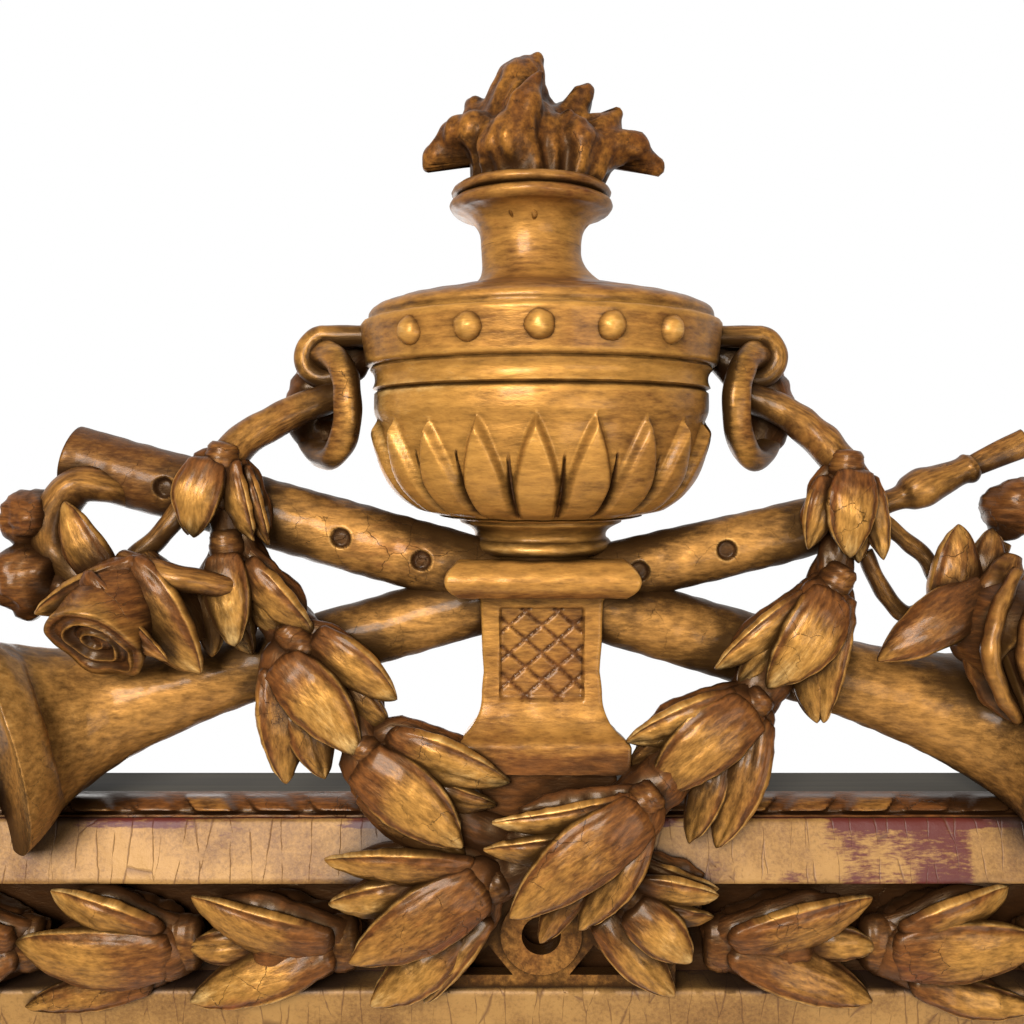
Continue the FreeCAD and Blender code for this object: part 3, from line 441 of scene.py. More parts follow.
iron = cloudedMaterial("forged iron, wax-blacked", cloudedLooks["iron"])
plate = cloudedMaterial("silvered glass, foxed", cloudedLooks["plate"])
paintedPineAcross = pineMaterial("sawn pine, grey-green paint, rails", "#453E2F", "#29241B", 0)
paintedPineUp = pineMaterial("sawn pine, grey-green paint, stiles", "#453E2F", "#29241B", 2)
boardPine = pineMaterial("sawn pine, bare backboards", "#A57E4E", "#6B4A2A", 2)
blockPine = pineMaterial("split pine, glazing blocks", "#B08A5A", "#7A5632", 2)
cadFinishes = {
    "wood_screws": iron, "crest_strap": iron, "hanger_plate_left": iron, "hanger_plate_right": iron,
    "hanging_ring_left": iron, "hanging_ring_right": iron, "backboard_nails": iron,
    "mirror_glass": plate, "glazing_blocks": blockPine, "corner_pegs": blockPine,
    "backboard_left": boardPine, "backboard_middle": boardPine, "backboard_right": boardPine,
    "carcass_stile_left": paintedPineUp, "carcass_stile_right": paintedPineUp,
    "carcass_rail_top": paintedPineAcross, "carcass_rail_bottom": paintedPineAcross}
for nodeName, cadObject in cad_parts.items():
    cadObject.data.materials.clear()
    cadObject.data.materials.append(cadFinishes.get(nodeName, giltPlain))
print("materials made:", len(bpy.data.materials))

# laurel leaves: plump shells with a lip round the edge
leafShape = {
    "crown": 6.6, "belly": 3.4, "fullness": 0.62, "baseShare": 0.6, "swellBy": 0.5, "taper": 3.1,
    "point": 0.82, "lip": 0.9, "lipPlace": 0.83, "lipWide": 0.075, "ridge": 0.8, "ridgeWide": 0.16,
    "arch": 2.4, "flick": 2.0, "sway": 0.05, "rootRound": 0.05, "fullMm": 20, "narrowMm": 22,
    "narrowSpread": 1.12, "knife": 0.34, "knifeMm": 8, "rows": 34, "sides": 44, "rollDegrees": 30,
    "rollBy": 30, "backMm": 4.0, "gold": 0.12, "edgeGold": 0.8, "edgePlace": 0.97, "edgeWide": 0.05,
    "tipGold": 0.3, "grooveGold": 0.45, "backGold": 0.3, "cutFrom": (0.05, 0.3), "cutTo": (1, 0.85),
    "crownFade": (0.1, 0.5), "edgeFade": (0.12, 0.4), "tipFade": (0.7, 1.0)}


# half width of a leaf along its length: a quick swell from the base, then a taper to a point
def leafOutline(share):
    swell = np.sin(np.pi / 2 * np.clip(share / leafShape["swellBy"], 0, 1))
    swell = leafShape["baseShare"] + (1 - leafShape["baseShare"]) * swell
    return swell * np.maximum(1 - share ** leafShape["taper"], 0) ** leafShape["point"]


# leaf: lens sections of half width w carried along an arched line; front height is the crown times
# sine of the turn to a power, less a groove inside the lip; back height is the belly times sine
def leafShell(root, aim, length, width, seed, roll=0.0):
    form = leafShape
    share = (1 - np.cos(np.linspace(0, np.pi, form["rows"]))) / 2
    turn = fullTurn(form["sides"])
    heading = towards(aim)
    side = np.cross(heading, outward)
    lean = math.radians(roll)
    side, front = (side * math.cos(lean) + outward * math.sin(lean),
                   outward * math.cos(lean) - side * math.sin(lean))
    draw = np.random.default_rng(seed)
    base = np.sqrt(np.clip(share / form["rootRound"], 0, 1))  # root drawn in round
    outline = leafOutline(share)
    half = outline * base * width * (form["narrowSpread"] if width < form["narrowMm"] else 1.0) / 2
    thick = np.sqrt(np.maximum(outline, 0.0)) * (0.75 + 0.25 * np.sin(np.pi * share))
    thick = thick * min(1.0, width / form["fullMm"]) * base
    middle = share * (length + form["backMm"]) - form["backMm"]
    sway = draw.uniform(-form["sway"], form["sway"]) * length * np.sin(np.pi * share)
    rise = form["arch"] * 4 * share * (1 - share) + form["flick"] * share ** 3 * draw.uniform(-0.2, 1.3)
    place = np.cos(turn)
    up = np.sin(turn)
    crown = form["crown"] * np.abs(up) ** form["fullness"]
    groove = bell(np.abs(place), form["lipPlace"], form["lipWide"])
    ridge = form["ridge"] * draw.uniform(-1.3, 1.0) * bell(place, draw.uniform(-0.2, 0.2), form["ridgeWide"])
    cut = (ease(*form["cutFrom"], share) * ease(*form["cutTo"], share))[:, None]
    frontHeight = thick[:, None] * crown + (ridge - form["lip"] * groove) * cut
    height = np.where(up >= 0, frontHeight, -thick[:, None] * form["belly"] * np.abs(up))
    points = (np.array(root, float) + middle[:, None, None] * heading
              + (half[:, None] * place + sway[:, None])[..., None] * side
              + (height + rise[:, None])[..., None] * front)
    points = handCut(points, form["knife"], form["knifeMm"], seed)
    crownGold = ease(*form["crownFade"], share)[:, None] * np.clip(up, 0, 1) ** 1.2
    edgeGold = form["edgeGold"] * bell(np.abs(place), form["edgePlace"], form["edgeWide"])
    edgeGold = edgeGold * ease(*form["edgeFade"], share)[:, None]
    tipGold = form["tipGold"] * ease(*form["tipFade"], share)[:, None]
    rubbed = draw.uniform(0.25, 0.8)
    gold = form["gold"] + rubbed * crownGold + edgeGold + tipGold
    gold = gold - form["grooveGold"] * groove * (up > 0) - form["backGold"] * (up < -0.2)
    uv = np.stack([middle[:, None] + 0 * place, half[:, None] * place], -1) * mm + draw.uniform(0, 1, 2)
    return patch(points, gold, uv=uv)


# turned form on any axis: rings of a radius at a reach along the heading
def turnedForm(base, heading, reach, radius, sides=40):
    heading = unit(np.array(heading, float))
    ring = spokes(heading, (0.31, 0.9, 0.27), fullTurn(sides))
    return (np.array(base, float) + np.asarray(reach, float)[:, None, None] * heading
            + np.asarray(radius, float)[:, None, None] * ring)


# thin round rod with closed ends
def rod(base, heading, length, radius, rows, sides):
    sizes = np.full(rows, radius)
    sizes[[0, -1]] = 0
    return turnedForm(base, heading, np.linspace(0, length, rows), sizes, sides)


# Catmull-Rom curve through given stations of across, proud, up and radius
def smoothPath(stations, count):
    known = np.array(stations, float)
    known = np.vstack([2 * known[0] - known[1], known, 2 * known[-1] - known[-2]])
    step = np.linspace(0, len(stations) - 1, count)
    at = np.minimum(step.astype(int), len(stations) - 2)
    part = (step - at)[:, None]
    before, here, there, beyond = known[at], known[at + 1], known[at + 2], known[at + 3]
    return 0.5 * (2 * here + (there - before) * part
                  + (2 * before - 5 * here + 4 * there - beyond) * part ** 2
                  + (3 * here - before - 3 * there + beyond) * part ** 3)


# limb: rings of the path's radius across its tangent, ends drawn in to a point; flat squeezes it
# front to back
def limbAlong(middle, size, flat, knife, seed, gold, knifeMm, sides):
    tangent = unit(np.gradient(middle, axis=0))
    out = unit(outward - tangent * (tangent @ outward)[:, None])
    side = np.cross(tangent, out)
    turn = fullTurn(sides)
    ring = np.cos(turn)[:, None] * out[:, None] * flat + np.sin(turn)[:, None] * side[:, None]
    points = handCut(middle[:, None] + size[:, None, None] * ring, knife, knifeMm, seed)
    points = capped(points, middle[0], middle[-1])
    front = np.clip(np.cos(turn), 0, 1)[None] * np.ones((len(points), 1))
    run = np.linspace(0, 1, len(points))[:, None] * np.linalg.norm(np.diff(middle, axis=0), axis=1).sum()
    across = size.mean() * (np.sin(turn) + np.cos(turn))[None]
    return patch(points, gold * (0.4 + 0.6 * front), uv=np.stack(np.broadcast_arrays(run, across), -1) * mm)


def limb(stations, rows=40, sides=32, flat=1.0, knife=0.2, seed=1, gold=0.45, knifeMm=12):
    path = smoothPath(stations, rows)
    middle = crest(path[:, 0], path[:, 1], path[:, 2])
    return limbAlong(middle, path[:, 3], flat, knife, seed, gold, knifeMm, sides)


# bunch: a ringed collar, a core and webs that fill the leaves' roots, the leaves, and stalks to those
# set away
collarShape = {"radius": 7.0, "long": 9.0, "ringDepth": 0.35, "ringTurns": 9, "drawnIn": 0.42, "stalk": 3.2,
               "gold": 0.2, "stalkGold": 0.12}
webShape = {"reach": (0.0, 0.28, 0.55, 0.8), "wide": (0.4, 0.42, 0.4, 0.12), "setBack": 3.0, "flat": 0.55,
            "knife": 0.5, "knifeMm": 8, "gold": 0.06}
coreShape = {"start": -5.0, "end": 0.66, "spread": 0.42, "setBack": 3.0, "flat": 0.72, "lump": 0.9,
             "lumpMm": 9, "gold": 0.1}


def bunch(collar, leaves, seed, flip=1, aim=None, girth=1.0):
    collar = np.array(collar, float)
    aim = leaves[0][2] if aim is None else aim
    mainAim = aim if flip > 0 else 180 - aim
    heading = towards(mainAim)
    wide = girth * collarShape["radius"]
    along = np.linspace(-1, 1, 26)
    rings = np.sin(along * collarShape["ringTurns"]) > 0.55
    radius = wide * (1 - collarShape["drawnIn"] * along ** 4) - collarShape["ringDepth"] * rings
    radius[[0, -1]] = 0
    neck = turnedForm(collar, heading, along * collarShape["long"], radius, 30)
    neck[..., 1] = collar[1] + (neck[..., 1] - collar[1]) / girth
    patches = [patch(neck, collarShape["gold"])]
    end = coreShape["end"] * leaves[0][3]
    reach = np.linspace(coreShape["start"], end, 40)
    radius = wide + coreShape["spread"] * np.maximum(reach, 0)
    radius = radius * np.sqrt(np.clip(1 - (reach / end) ** 4, 0, 1)) * ease(coreShape["start"] - 1, 3, reach)
    radius[[0, -1]] = 0
    core = turnedForm(collar, heading, reach, radius, 40)
    core[..., 1] = collar[1] + coreShape["setBack"] + coreShape["flat"] * (core[..., 1] - collar[1])
    patches.append(patch(handCut(core, coreShape["lump"], coreShape["lumpMm"], seed), coreShape["gold"]))
    for order, (across, up, leafAim, length, width, lift) in enumerate(leaves):
        turned = leafAim if flip > 0 else 180 - leafAim
        root = collar + np.array([flip * across, -lift, up])
        away = (turned - mainAim + 180) % 360 - 180
        roll = -leafShape["rollDegrees"] * np.clip(away / leafShape["rollBy"], -1, 1)
        patches.append(leafShell(root, turned, length, width, seed * 17 + order, roll))
        way = towards(turned) * length
        stations = [(*collar, wide)]
        for share, webWide in zip(webShape["reach"], webShape["wide"]):
            stations.append((*(root + share * way), webWide * width))
        path = smoothPath(stations, 26)
        path[:, 1] += webShape["setBack"]
        patches.append(limbAlong(path[:, :3], path[:, 3], webShape["flat"], webShape["knife"], seed + order,
                                 webShape["gold"], webShape["knifeMm"], 22))
        apart = np.linalg.norm(root - collar)
        if apart > collarShape["radius"]:
            stalk = rod(collar, root - collar, apart + collarShape["stalk"], collarShape["stalk"], 8, 14)
            patches.append(patch(stalk, collarShape["stalkGold"]))
    return patches


# garlands: collar as across, proud, up; each leaf as base across, base up, aim, length, width, lift
garland = {
    "left_1": ((-125, 50, 139), (
        (-4, -1, -102, 28, 19, 4), (5, -2, -73, 29, 13, 1), (-10, -7, -99, 21, 12, -1),
        (9, -4, -71, 29, 11, -2))),
    "left_2": ((-123, 50, 105), (
        (0, -3, -83, 34, 18, 4), (9, -7, -44, 35, 19, 1), (10, -15, -56, 22, 14, -1),
        (-8, -11, -88, 31, 15, -1), (-1, -15, -70, 28, 16, -2))),
    "left_3": ((-96, 52, 70), (
        (-4, -9, -50, 45, 26, 5), (-8, -12, -86, 45, 19, 1), (-1, -20, -73, 37, 19, -1),
        (9, 0, -36, 38, 19, 1), (18, -18, -42, 24, 16, -2))),
    "left_4": ((-67, 55, 26), (
        (-1, -3, -41, 49, 29, 4), (9, 5, -19, 48, 24, 1), (22, -12, -15, 28, 14, -1),
        (-1, -15, -34, 46, 20, -3))),
    "right_1": ((118, 50, 136), (
        (2, -2, -94, 31, 19, 4), (-8, -5, -104, 26, 13, 1), (9, -5, -78, 30, 11, 1),
        (6, -14, -89, 22, 11, -2))),
    "right_2": ((114, 50, 92), (
        (-3, -5, -124, 42, 26, 5), (3, -7, -97, 48, 16, 1), (-12, -7, -144, 43, 15, 1),
        (-20, -16, -126, 29, 14, -1), (-9, -28, -80, 28, 14, -2))),
    "right_3": ((81, 53, 44), (
        (-2, -1, -140, 49, 28, 5), (-7, 2, -161, 44, 19, 1), (-28, -10, -147, 23, 13, -2),
        (3, -6, -107, 53, 19, 1), (-12, -18, -105, 38, 16, -1))),
    "right_4": ((37, 66, 10), (
        (-1, -3, -142, 62, 28, 5), (-5, 1, -173, 52, 15, 1), (-20, -14, -177, 40, 16, -1),
        (0, -9, -120, 46, 17, 1), (-22, -32, -124, 28, 13, -2))),
    "left_5": ((33, 54, -30), (
        (4, -6, -42, 29, 22, 4), (6, 4, -6, 31, 15, 1), (10, -5, -12, 26, 13, -1),
        (-8, -12, -48, 42, 18, -1), (8, 10, -16, 31, 12, -3))),
    "right_5": ((-21, 54, -28), (
        (-4, 2, -150, 58, 29, 5), (-8, 8, 176, 57, 19, 1), (-28, -2, -173, 36, 18, -1),
        (-13, -19, -139, 45, 21, -1), (-3, -14, -123, 41, 17, -2)))}
for order, (name, (collar, leaves)) in enumerate(garland.items()):
    patches = bunch(crest(*collar), leaves, order + 3)
    buildPiece("laurel_bunch_" + name, patches, [giltCarving], ["garland_" + name])

# stems that the bunches grow along, each station as across, proud, up, radius
garlandStems = {
    "left": ((-125, 46, 141, 7), (-124, 45, 122, 8.5), (-120, 45, 104, 9), (-109, 46, 86, 10),
             (-95, 47, 68, 10.5), (-81, 49, 47, 10.5), (-66, 50, 25, 10.5), (-46, 50, 6, 10),
             (-20, 50, -8, 9), (30, 50, -29, 8)),
    "right": ((118, 46, 138, 7), (119, 45, 114, 6.5), (113, 45, 92, 8), (98, 47, 68, 10), (81, 48, 44, 10.5),
              (60, 53, 27, 10.5), (37, 58, 9, 10.5), (8, 54, -12, 10), (-22, 50, -28, 9))}
for name, stations in garlandStems.items():
    stem = limb(stations, 120, 36, flat=0.8, knife=1.0, seed=97, gold=0.05, knifeMm=9)
    buildPiece("garland_stem_" + name, [stem], [giltCarving])
print("garlands carved:", len(garland))

# friezes: bunches along a stem in the channel, seated on each of the four sides
frieze = {
    "level": -57.0, "proud": 42.0, "pitch": 64.0, "stem": 3.5, "cornerRoom": 104.0, "middleGap": 6.0,
    "leftStart": -83.0, "rightStart": 75.0, "topCount": 4, "girth": 1.75, "stemGold": 0.1,
    "leaves": (((4, 4, 19, 57, 24, 6), (4, 0, -22, 60, 26, 4), (34, 2, -3, 27, 15, 2)),
               ((5, -2, 6, 60, 30, 6), (9, 7, 25, 45, 20, 4), (14, -14, -12, 50, 15, 4)))}
frameHeight = 2 * frameTop
frameWidth = frameRight - frameLeft
sideTurns = {"top": (0, frameTop), "right": (90, frameWidth / 2), "bottom": (180, frameTop),
             "left": (-90, frameWidth / 2)}


# seat a form made about the top edge at height zero on one of the four sides
def seated(points, side):
    turn, distance = sideTurns[side]
    cosine, sine = math.cos(math.radians(turn)), math.sin(math.radians(turn))
    x, z = points[..., 0], points[..., 2] + distance
    return np.stack([x * cosine + z * sine, points[..., 1], z * cosine - x * sine], -1)


sideCount = int((frameHeight - 2 * frieze["cornerRoom"]) / frieze["pitch"])
sideStart = frieze["pitch"] * sideCount / 2
bottomCount = int((frameWidth / 2 - frieze["cornerRoom"]) / frieze["pitch"])
friezeRuns = {
    "laurel_top_left": ("top", frieze["leftStart"], frieze["topCount"], -1),
    "laurel_top_right": ("top", frieze["rightStart"], frieze["topCount"], 1),
    "laurel_left": ("left", sideStart, sideCount, -1),
    "laurel_right": ("right", -sideStart, sideCount, 1),
    "laurel_bottom_left": ("bottom", frieze["middleGap"], bottomCount, 1),
    "laurel_bottom_right": ("bottom", -frieze["middleGap"], bottomCount, -1)}
for order, (name, (side, start, count, flip)) in enumerate(friezeRuns.items()):
    patches = []
    for index in range(count):
        place = (start + flip * index * frieze["pitch"], -frieze["proud"], frieze["level"])
        kind = frieze["leaves"][index % len(frieze["leaves"])]
        patches += bunch(place, kind, 40 + 20 * order + index, flip, 0, frieze["girth"])
    root = (start, -frieze["proud"], frieze["level"])
    stem = rod(root, (flip, 0, 0), count * frieze["pitch"], frieze["stem"], 12, 16)
    patches.append(patch(stem, frieze["stemGold"]))
    for part in patches:
        part["points"] = seated(part["points"], side)
    buildPiece(name + "_carved", patches, [giltCarving], [name])
print("friezes carved:", len(friezeRuns))

# frame mouldings: roll with a twisted ribbon, flat band, channel and inner band
moulding = {
    "depth": 24.0, "rollWidth": 6.0, "rollFront": 40.0, "rollDrop": 4.6, "bandWidth": 24.0, "bandFront": 48.0,
    "floorFront": 30.0, "channelWidth": 45.0, "innerFront": 46.0, "faceWidth": 93.0, "innerFall": 2.0,
    "arris": 1.2, "lumpPitch": 25.0, "lumpLong": 19.5, "lumpHigh": 4.4, "lumpIn": 0.3, "lumpSlant": 10.0,
    "lumpFall": 0.35, "stepMm": 1.2, "sectionMm": 1.5, "fillet": 1.1, "waveMm": 38, "wave": 0.22,
    "rippleMm": 9, "ripple": 0.1, "gold": 0.55, "rollGold": -0.3, "lumpGold": 0.75, "edgeMm": 3.6,
    "edgeBare": 0.34, "edgeWornMm": 90, "patchBare": 0.24, "patchFrom": (100, 128), "patchTo": (178, 172),
    "fringe": 0.8, "fringeFrom": (78, 90), "fringeTo": (120, 100), "fringeLow": (22, 26)}


# points along straight runs between corners, evenly spaced, corners kept
def alongRuns(corners, spacing):
    corners = np.array(corners, float)
    length = np.concatenate([[0], np.cumsum(np.linalg.norm(np.diff(corners, axis=0), axis=1))])
    spots = np.unique(np.round(np.concatenate([
        np.linspace(first, last, max(2, int((last - first) / spacing) + 1))
        for first, last in zip(length[:-1], length[1:])]), 6))
    return np.stack([np.interp(spots, length, corners[:, axis]) for axis in range(2)], 1)


# a side's moulding: the section (inward, forward) carried along the side and cut to the mitre; the roll
# carries slanted lozenges with steep ends, leaning outwards from the middle of the side
def mouldingPatches(length, seed):
    form = moulding
    bandStart = form["rollWidth"]
    channelStart = form["rollWidth"] + form["bandWidth"]
    channelEnd = channelStart + form["channelWidth"]
    turn = np.linspace(0, np.pi / 2, 18)
    arris = form["arris"]
    rollTop, bandTop, innerTop = form["rollFront"], form["bandFront"], form["innerFront"]
    innerEdge, innerLow = form["faceWidth"], innerTop - form["innerFall"]
    roll = np.stack([(form["rollWidth"] - form["fillet"]) * (1 - np.cos(turn)),
                     form["depth"] + (rollTop - form["rollDrop"] - form["depth"]) * np.sin(turn)], 1)
    rims = ([(bandStart - form["fillet"], rollTop - form["rollDrop"]),
             (bandStart - form["fillet"], rollTop - 1.8), (bandStart - 0.4, rollTop - 1.4),
             (bandStart - 0.2, rollTop - 2.6)],
            [(bandStart, rollTop - 0.4), (bandStart + arris, rollTop + 0.5),
             (channelStart - arris, bandTop - 0.2), (channelStart - 0.3, bandTop - 0.5),
             (channelStart, bandTop - arris - 0.6)],
            [(channelStart, form["floorFront"]), (channelEnd, form["floorFront"])],
            [(channelEnd, innerTop - arris), (channelEnd + arris, innerTop - 0.1),
             (innerEdge - arris, innerLow), (innerEdge, innerLow - arris), (innerEdge, form["depth"])])
    strips = [roll]
    for run in rims:
        strips.append(alongRuns([tuple(strips[-1][-1])] + run, form["sectionMm"])[1:])
    section = np.concatenate(strips)
    marks = np.cumsum([0] + [len(strip) for strip in strips])
    measure = np.concatenate([[0], np.cumsum(np.linalg.norm(np.diff(section, axis=0), axis=1))])
    share = np.linspace(-0.5, 0.5, int(length / form["stepMm"]))[:, None]
    across = share * (length - 2 * section[:, 0])
    inward = np.broadcast_to(section[:, 0], across.shape).copy()
    forward = np.broadcast_to(section[:, 1], across.shape).copy()
    climb = np.clip(np.arange(len(section)) / (len(roll) - 1), 0, 1)
    paces = (np.abs(across) + form["lumpSlant"] * (climb - 0.5)) / form["lumpPitch"]
    phase = paces % 1 - 0.5
    ends = 1 - ease(0.72, 1.0, np.abs(phase) * form["lumpPitch"] / (form["lumpLong"] / 2))
    face = ease(0.12, 0.32, climb) * ease(1.0, 0.86, climb) * (np.arange(len(section)) < len(roll))
    order = np.floor(paces).astype(int) % 40 + 40 * (across > 0)
    worn = np.random.default_rng(seed).uniform(0.35, 1.05, 80)[order]
    lump = ends * face * (1 - form["lumpFall"] * (phase * 2) ** 2) * worn
    inward -= form["lumpHigh"] * form["lumpIn"] * lump
    forward += form["lumpHigh"] * lump
    points = np.stack([across, -forward, -inward], -1)
    ripple = waviness(points, form["waveMm"], seed) * form["wave"]
    ripple = ripple + waviness(points, form["rippleMm"], seed + 1) * form["ripple"]
    points[..., 1] -= ripple * (section[:, 1] > form["depth"] + 1)
    gold = np.full(across.shape, form["gold"])
    gold[:, :marks[2]] = form["rollGold"] + form["lumpGold"] * lump[:, :marks[2]]
    upperEdge = np.zeros(across.shape, bool)
    upperEdge[:, marks[2]:marks[3]] = (section[marks[2]:marks[3], 0] < bandStart + form["edgeMm"])
    patchy = ease(-0.3, 0.6, waviness(points, form["edgeWornMm"], seed + 2))
    gold = gold - form["edgeBare"] * upperEdge * patchy
    # painted shade: the channel floor under the frieze is given no gold, so it takes the darkest toned colour
    gold[:, marks[3]:marks[4]] = 0.0
    uv = np.stack([across * mm, np.broadcast_to(measure * mm, across.shape)], -1)
    made = []
    for first, last, skin in ((0, marks[2], 1), (marks[2] - 1, marks[3], 0),
                              (marks[3] - 1, marks[4], 1), (marks[4] - 1, marks[5], 0)):
        made.append(patch(points[:, first:last], gold[:, first:last], False, uv[:, first:last], skin))
    return made


for order, side in enumerate(sideTurns):
    length = frameWidth if side in ("top", "bottom") else frameHeight
    patches = mouldingPatches(length, 7 + order)
    for part in patches:
        part["points"] = seated(part["points"], side)
    if side == "top":  # bole rubbed bare on a long patch right of the crest
        x, z = patches[1]["points"][..., 0], frameTop - patches[1]["points"][..., 2]
        fringe = ease(*moulding["fringeFrom"], x) * ease(*moulding["fringeTo"], x)
        fringe = fringe * ease(*moulding["fringeLow"], z)
        rubbed = ease(*moulding["patchFrom"], x) * ease(*moulding["patchTo"], x) + moulding["fringe"] * fringe
        patches[1]["gold"] = patches[1]["gold"] - moulding["patchBare"] * rubbed
    node = "moulding_" + side
    buildPiece(node + "_gilt", patches, [giltBand, giltCarving], [node], crease=50)
print("mouldings run:", len(sideTurns))

# urn: one turned profile as radius and height, round stretches as middle and end of an arc
urn = {
    "proud": 22.0, "neckShift": -4.0, "leaves": 20, "leafOffset": -3.0, "leafLow": 117.8, "leafValley": 131.0,
    "leafTip": 157.5, "tipSpread": 1.6, "leafHigh": 4.4, "leafStep": 2.3, "leafSink": 1.6, "leafBow": 1.25,
    "leafPoint": 0.85, "rimWide": 0.36, "grooveHigh": 26, "grooveWide": 0.11, "grooveDeep": 2.0,
    "beads": 18, "beadSpan": 47.0, "beadOffset": -2.0, "beadRadius": 5.5, "beadLevel": 187.5, "beadOut": 71.6,
    "beadRows": 12, "sides": 470, "neckSides": 160, "frontCrowd": 0.5, "stepMm": 0.95, "neckStepMm": 0.8,
    "knife": 0.14, "knifeMm": 14, "gold": 0.54, "rimGold": -0.12, "shoulderGold": -0.33, "edgeGold": 0.25,
    "leafEdgeGold": 0.12, "leafRootGold": -0.12, "pillowGold": 0.1, "grooveGold": -0.5, "rightGold": -0.2,
    "neckFade": (207, 226), "grooveFrom": 120, "rimFade": (176, 178), "shoulderFrom": (197, 203),
    "shoulderTo": (214, 206), "leafRootFade": (150, 130), "bowlFrom": (125, 135), "bowlTo": (172, 166),
    "body": ((25.0, 101), (25.4, 102.2), (28.2, 102.5), (30.0, 104.8, 28.6, 107.6), (27.6, 108.2),
             (28.0, 111.4, 32.4, 114.2), (33.6, 114.8), (33.8, 116.0), (41.0, 117.2),
             (57.0, 126.5, 65.4, 142.0), (68.2, 154.0, 68.5, 167.0), (67.2, 168.2), (69.2, 169.2),
             (68.3, 173.2, 70.2, 176.6), (69.6, 177.6), (71.9, 178.8), (73.8, 194.2), (73.0, 195.3),
             (70.6, 195.6), (70.2, 196.8), (69.2, 200.6, 62.0, 203.4), (60.8, 204.0), (29.5, 211.0),
             (22.3, 217.0, 20.5, 227.0)),
    "neck": ((20.5, 227.0), (23.2, 236.5, 31.5, 241.0), (33.4, 243.8, 31.2, 246.2), (29.8, 246.6),
             (31.4, 247.2), (32.6, 249.0, 31.0, 251.0), (26.5, 252.2))}


# points through pairs by straight runs and through fours by three-point arcs
def profilePoints(outline, spacing):
    made = [np.array(outline[0], float)[None]]
    for item in outline[1:]:
        start, end = made[-1][-1], np.array(item[-2:], float)
        count = max(3, int(np.linalg.norm(end - start) / spacing) + 1)
        share = np.linspace(0, 1, count)[1:, None]
        if len(item) == 4:
            bow = 2 * np.array(item[:2], float) - (start + end) / 2  # quadratic through the middle point
            made.append((1 - share) ** 2 * start + 2 * share * (1 - share) * bow + share ** 2 * end)
        else:
            made.append(start + (end - start) * share)
    return np.concatenate(made)


# turned surface about the urn's axis, flattened just short of the wall so that the iron strap shows behind
backGap = 0.4


def urnPoints(radius, height, turn, shift):
    x = shift + radius * np.sin(turn)
    out = urn["proud"] + radius * np.cos(turn)
    return crest(x, np.maximum(out, backGap), height)


profile = profilePoints(urn["body"], urn["stepMm"])
turn = np.linspace(-np.pi, np.pi, urn["sides"], endpoint=False)
turn = turn - urn["frontCrowd"] * np.sin(turn)  # columns closer together in front
radius = np.broadcast_to(profile[:, 0][:, None], (len(profile), urn["sides"])).copy()
height = np.broadcast_to(profile[:, 1][:, None], radius.shape).copy()
# bowl leaves: a raised ogive at each spacing, pillowed, split by a narrowing groove up from the foot
spacing = 2 * np.pi / urn["leaves"]
angle = turn - math.radians(urn["leafOffset"])
order = np.round(angle / spacing)
tipDraw = np.random.default_rng(5).uniform(-urn["tipSpread"], urn["tipSpread"], 64)
tip = urn["leafTip"] + tipDraw[(order % 64).astype(int)]
offset = np.abs(angle - order * spacing) / (spacing / 2)
climb = np.clip((height - urn["leafValley"]) / (tip - urn["leafValley"]), 0, 1)
halfWide = np.maximum(1 - climb ** urn["leafBow"], 0) ** urn["leafPoint"]
inside = (height > urn["leafLow"]) & (height < tip + 1)
rim = ease(0.0, urn["rimWide"], halfWide - offset) * inside * ease(urn["leafLow"], urn["leafLow"] + 3, height)
pillow = np.sqrt(np.clip(1 - (offset / np.maximum(halfWide, 0.05)) ** 2, 0, 1))
grooveWide = urn["grooveWide"] * np.clip(1 - (height - urn["leafLow"]) / urn["grooveHigh"], 0, 1) ** 0.6
groove = bell(offset, 1, np.maximum(grooveWide, 0.01)) * (height < urn["leafLow"] + urn["grooveHigh"])
groove = groove * ease(urn["leafLow"], urn["grooveFrom"], height)
sink = urn["leafSink"] * ease(urn["leafTip"] + 3, urn["leafTip"] - 4, height) * (height > urn["leafLow"])
carved = rim * (urn["leafStep"] + (urn["leafHigh"] - urn["leafStep"]) * pillow) - groove * urn["grooveDeep"]
radius += carved - sink
points = urnPoints(radius, height, turn, urn["neckShift"] * ease(*urn["neckFade"], height))
points = handCut(points, urn["knife"], urn["knifeMm"], 3)
points[..., 1] = np.minimum(points[..., 1], -backGap)
below = crest(0, urn["proud"], profile[0, 1])
above = crest(urn["neckShift"], urn["proud"], profile[-1, 1])
points = capped(points, below, above)
slope = np.abs(np.gradient(np.gradient(profile[:, 0]))) + np.abs(np.gradient(np.gradient(profile[:, 1])))
edges = np.clip(slope / 0.5, 0, 1)[:, None]
leafEdge = bell(halfWide - offset, 0.08, 0.06) * inside * (height > urn["leafValley"] - 6)
gold = urn["gold"] + urn["rimGold"] * ease(*urn["rimFade"], height) + urn["edgeGold"] * edges
gold = gold + urn["shoulderGold"] * ease(*urn["shoulderFrom"], height) * ease(*urn["shoulderTo"], height)
gold = gold + urn["leafEdgeGold"] * leafEdge + urn["leafRootGold"] * rim * ease(*urn["leafRootFade"], height)
gold = gold + urn["pillowGold"] * rim * pillow + urn["grooveGold"] * groove
# painted light and shade: the bowl's left side lighter and its right side darker, as if lit from the left
onBowl = ease(*urn["bowlFrom"], height) * ease(*urn["bowlTo"], height)
gold = gold + urn["rightGold"] * np.sin(turn) * onBowl
gold = np.concatenate([gold[:1], gold, gold[-1:]])
patches = [patch(points, gold)]
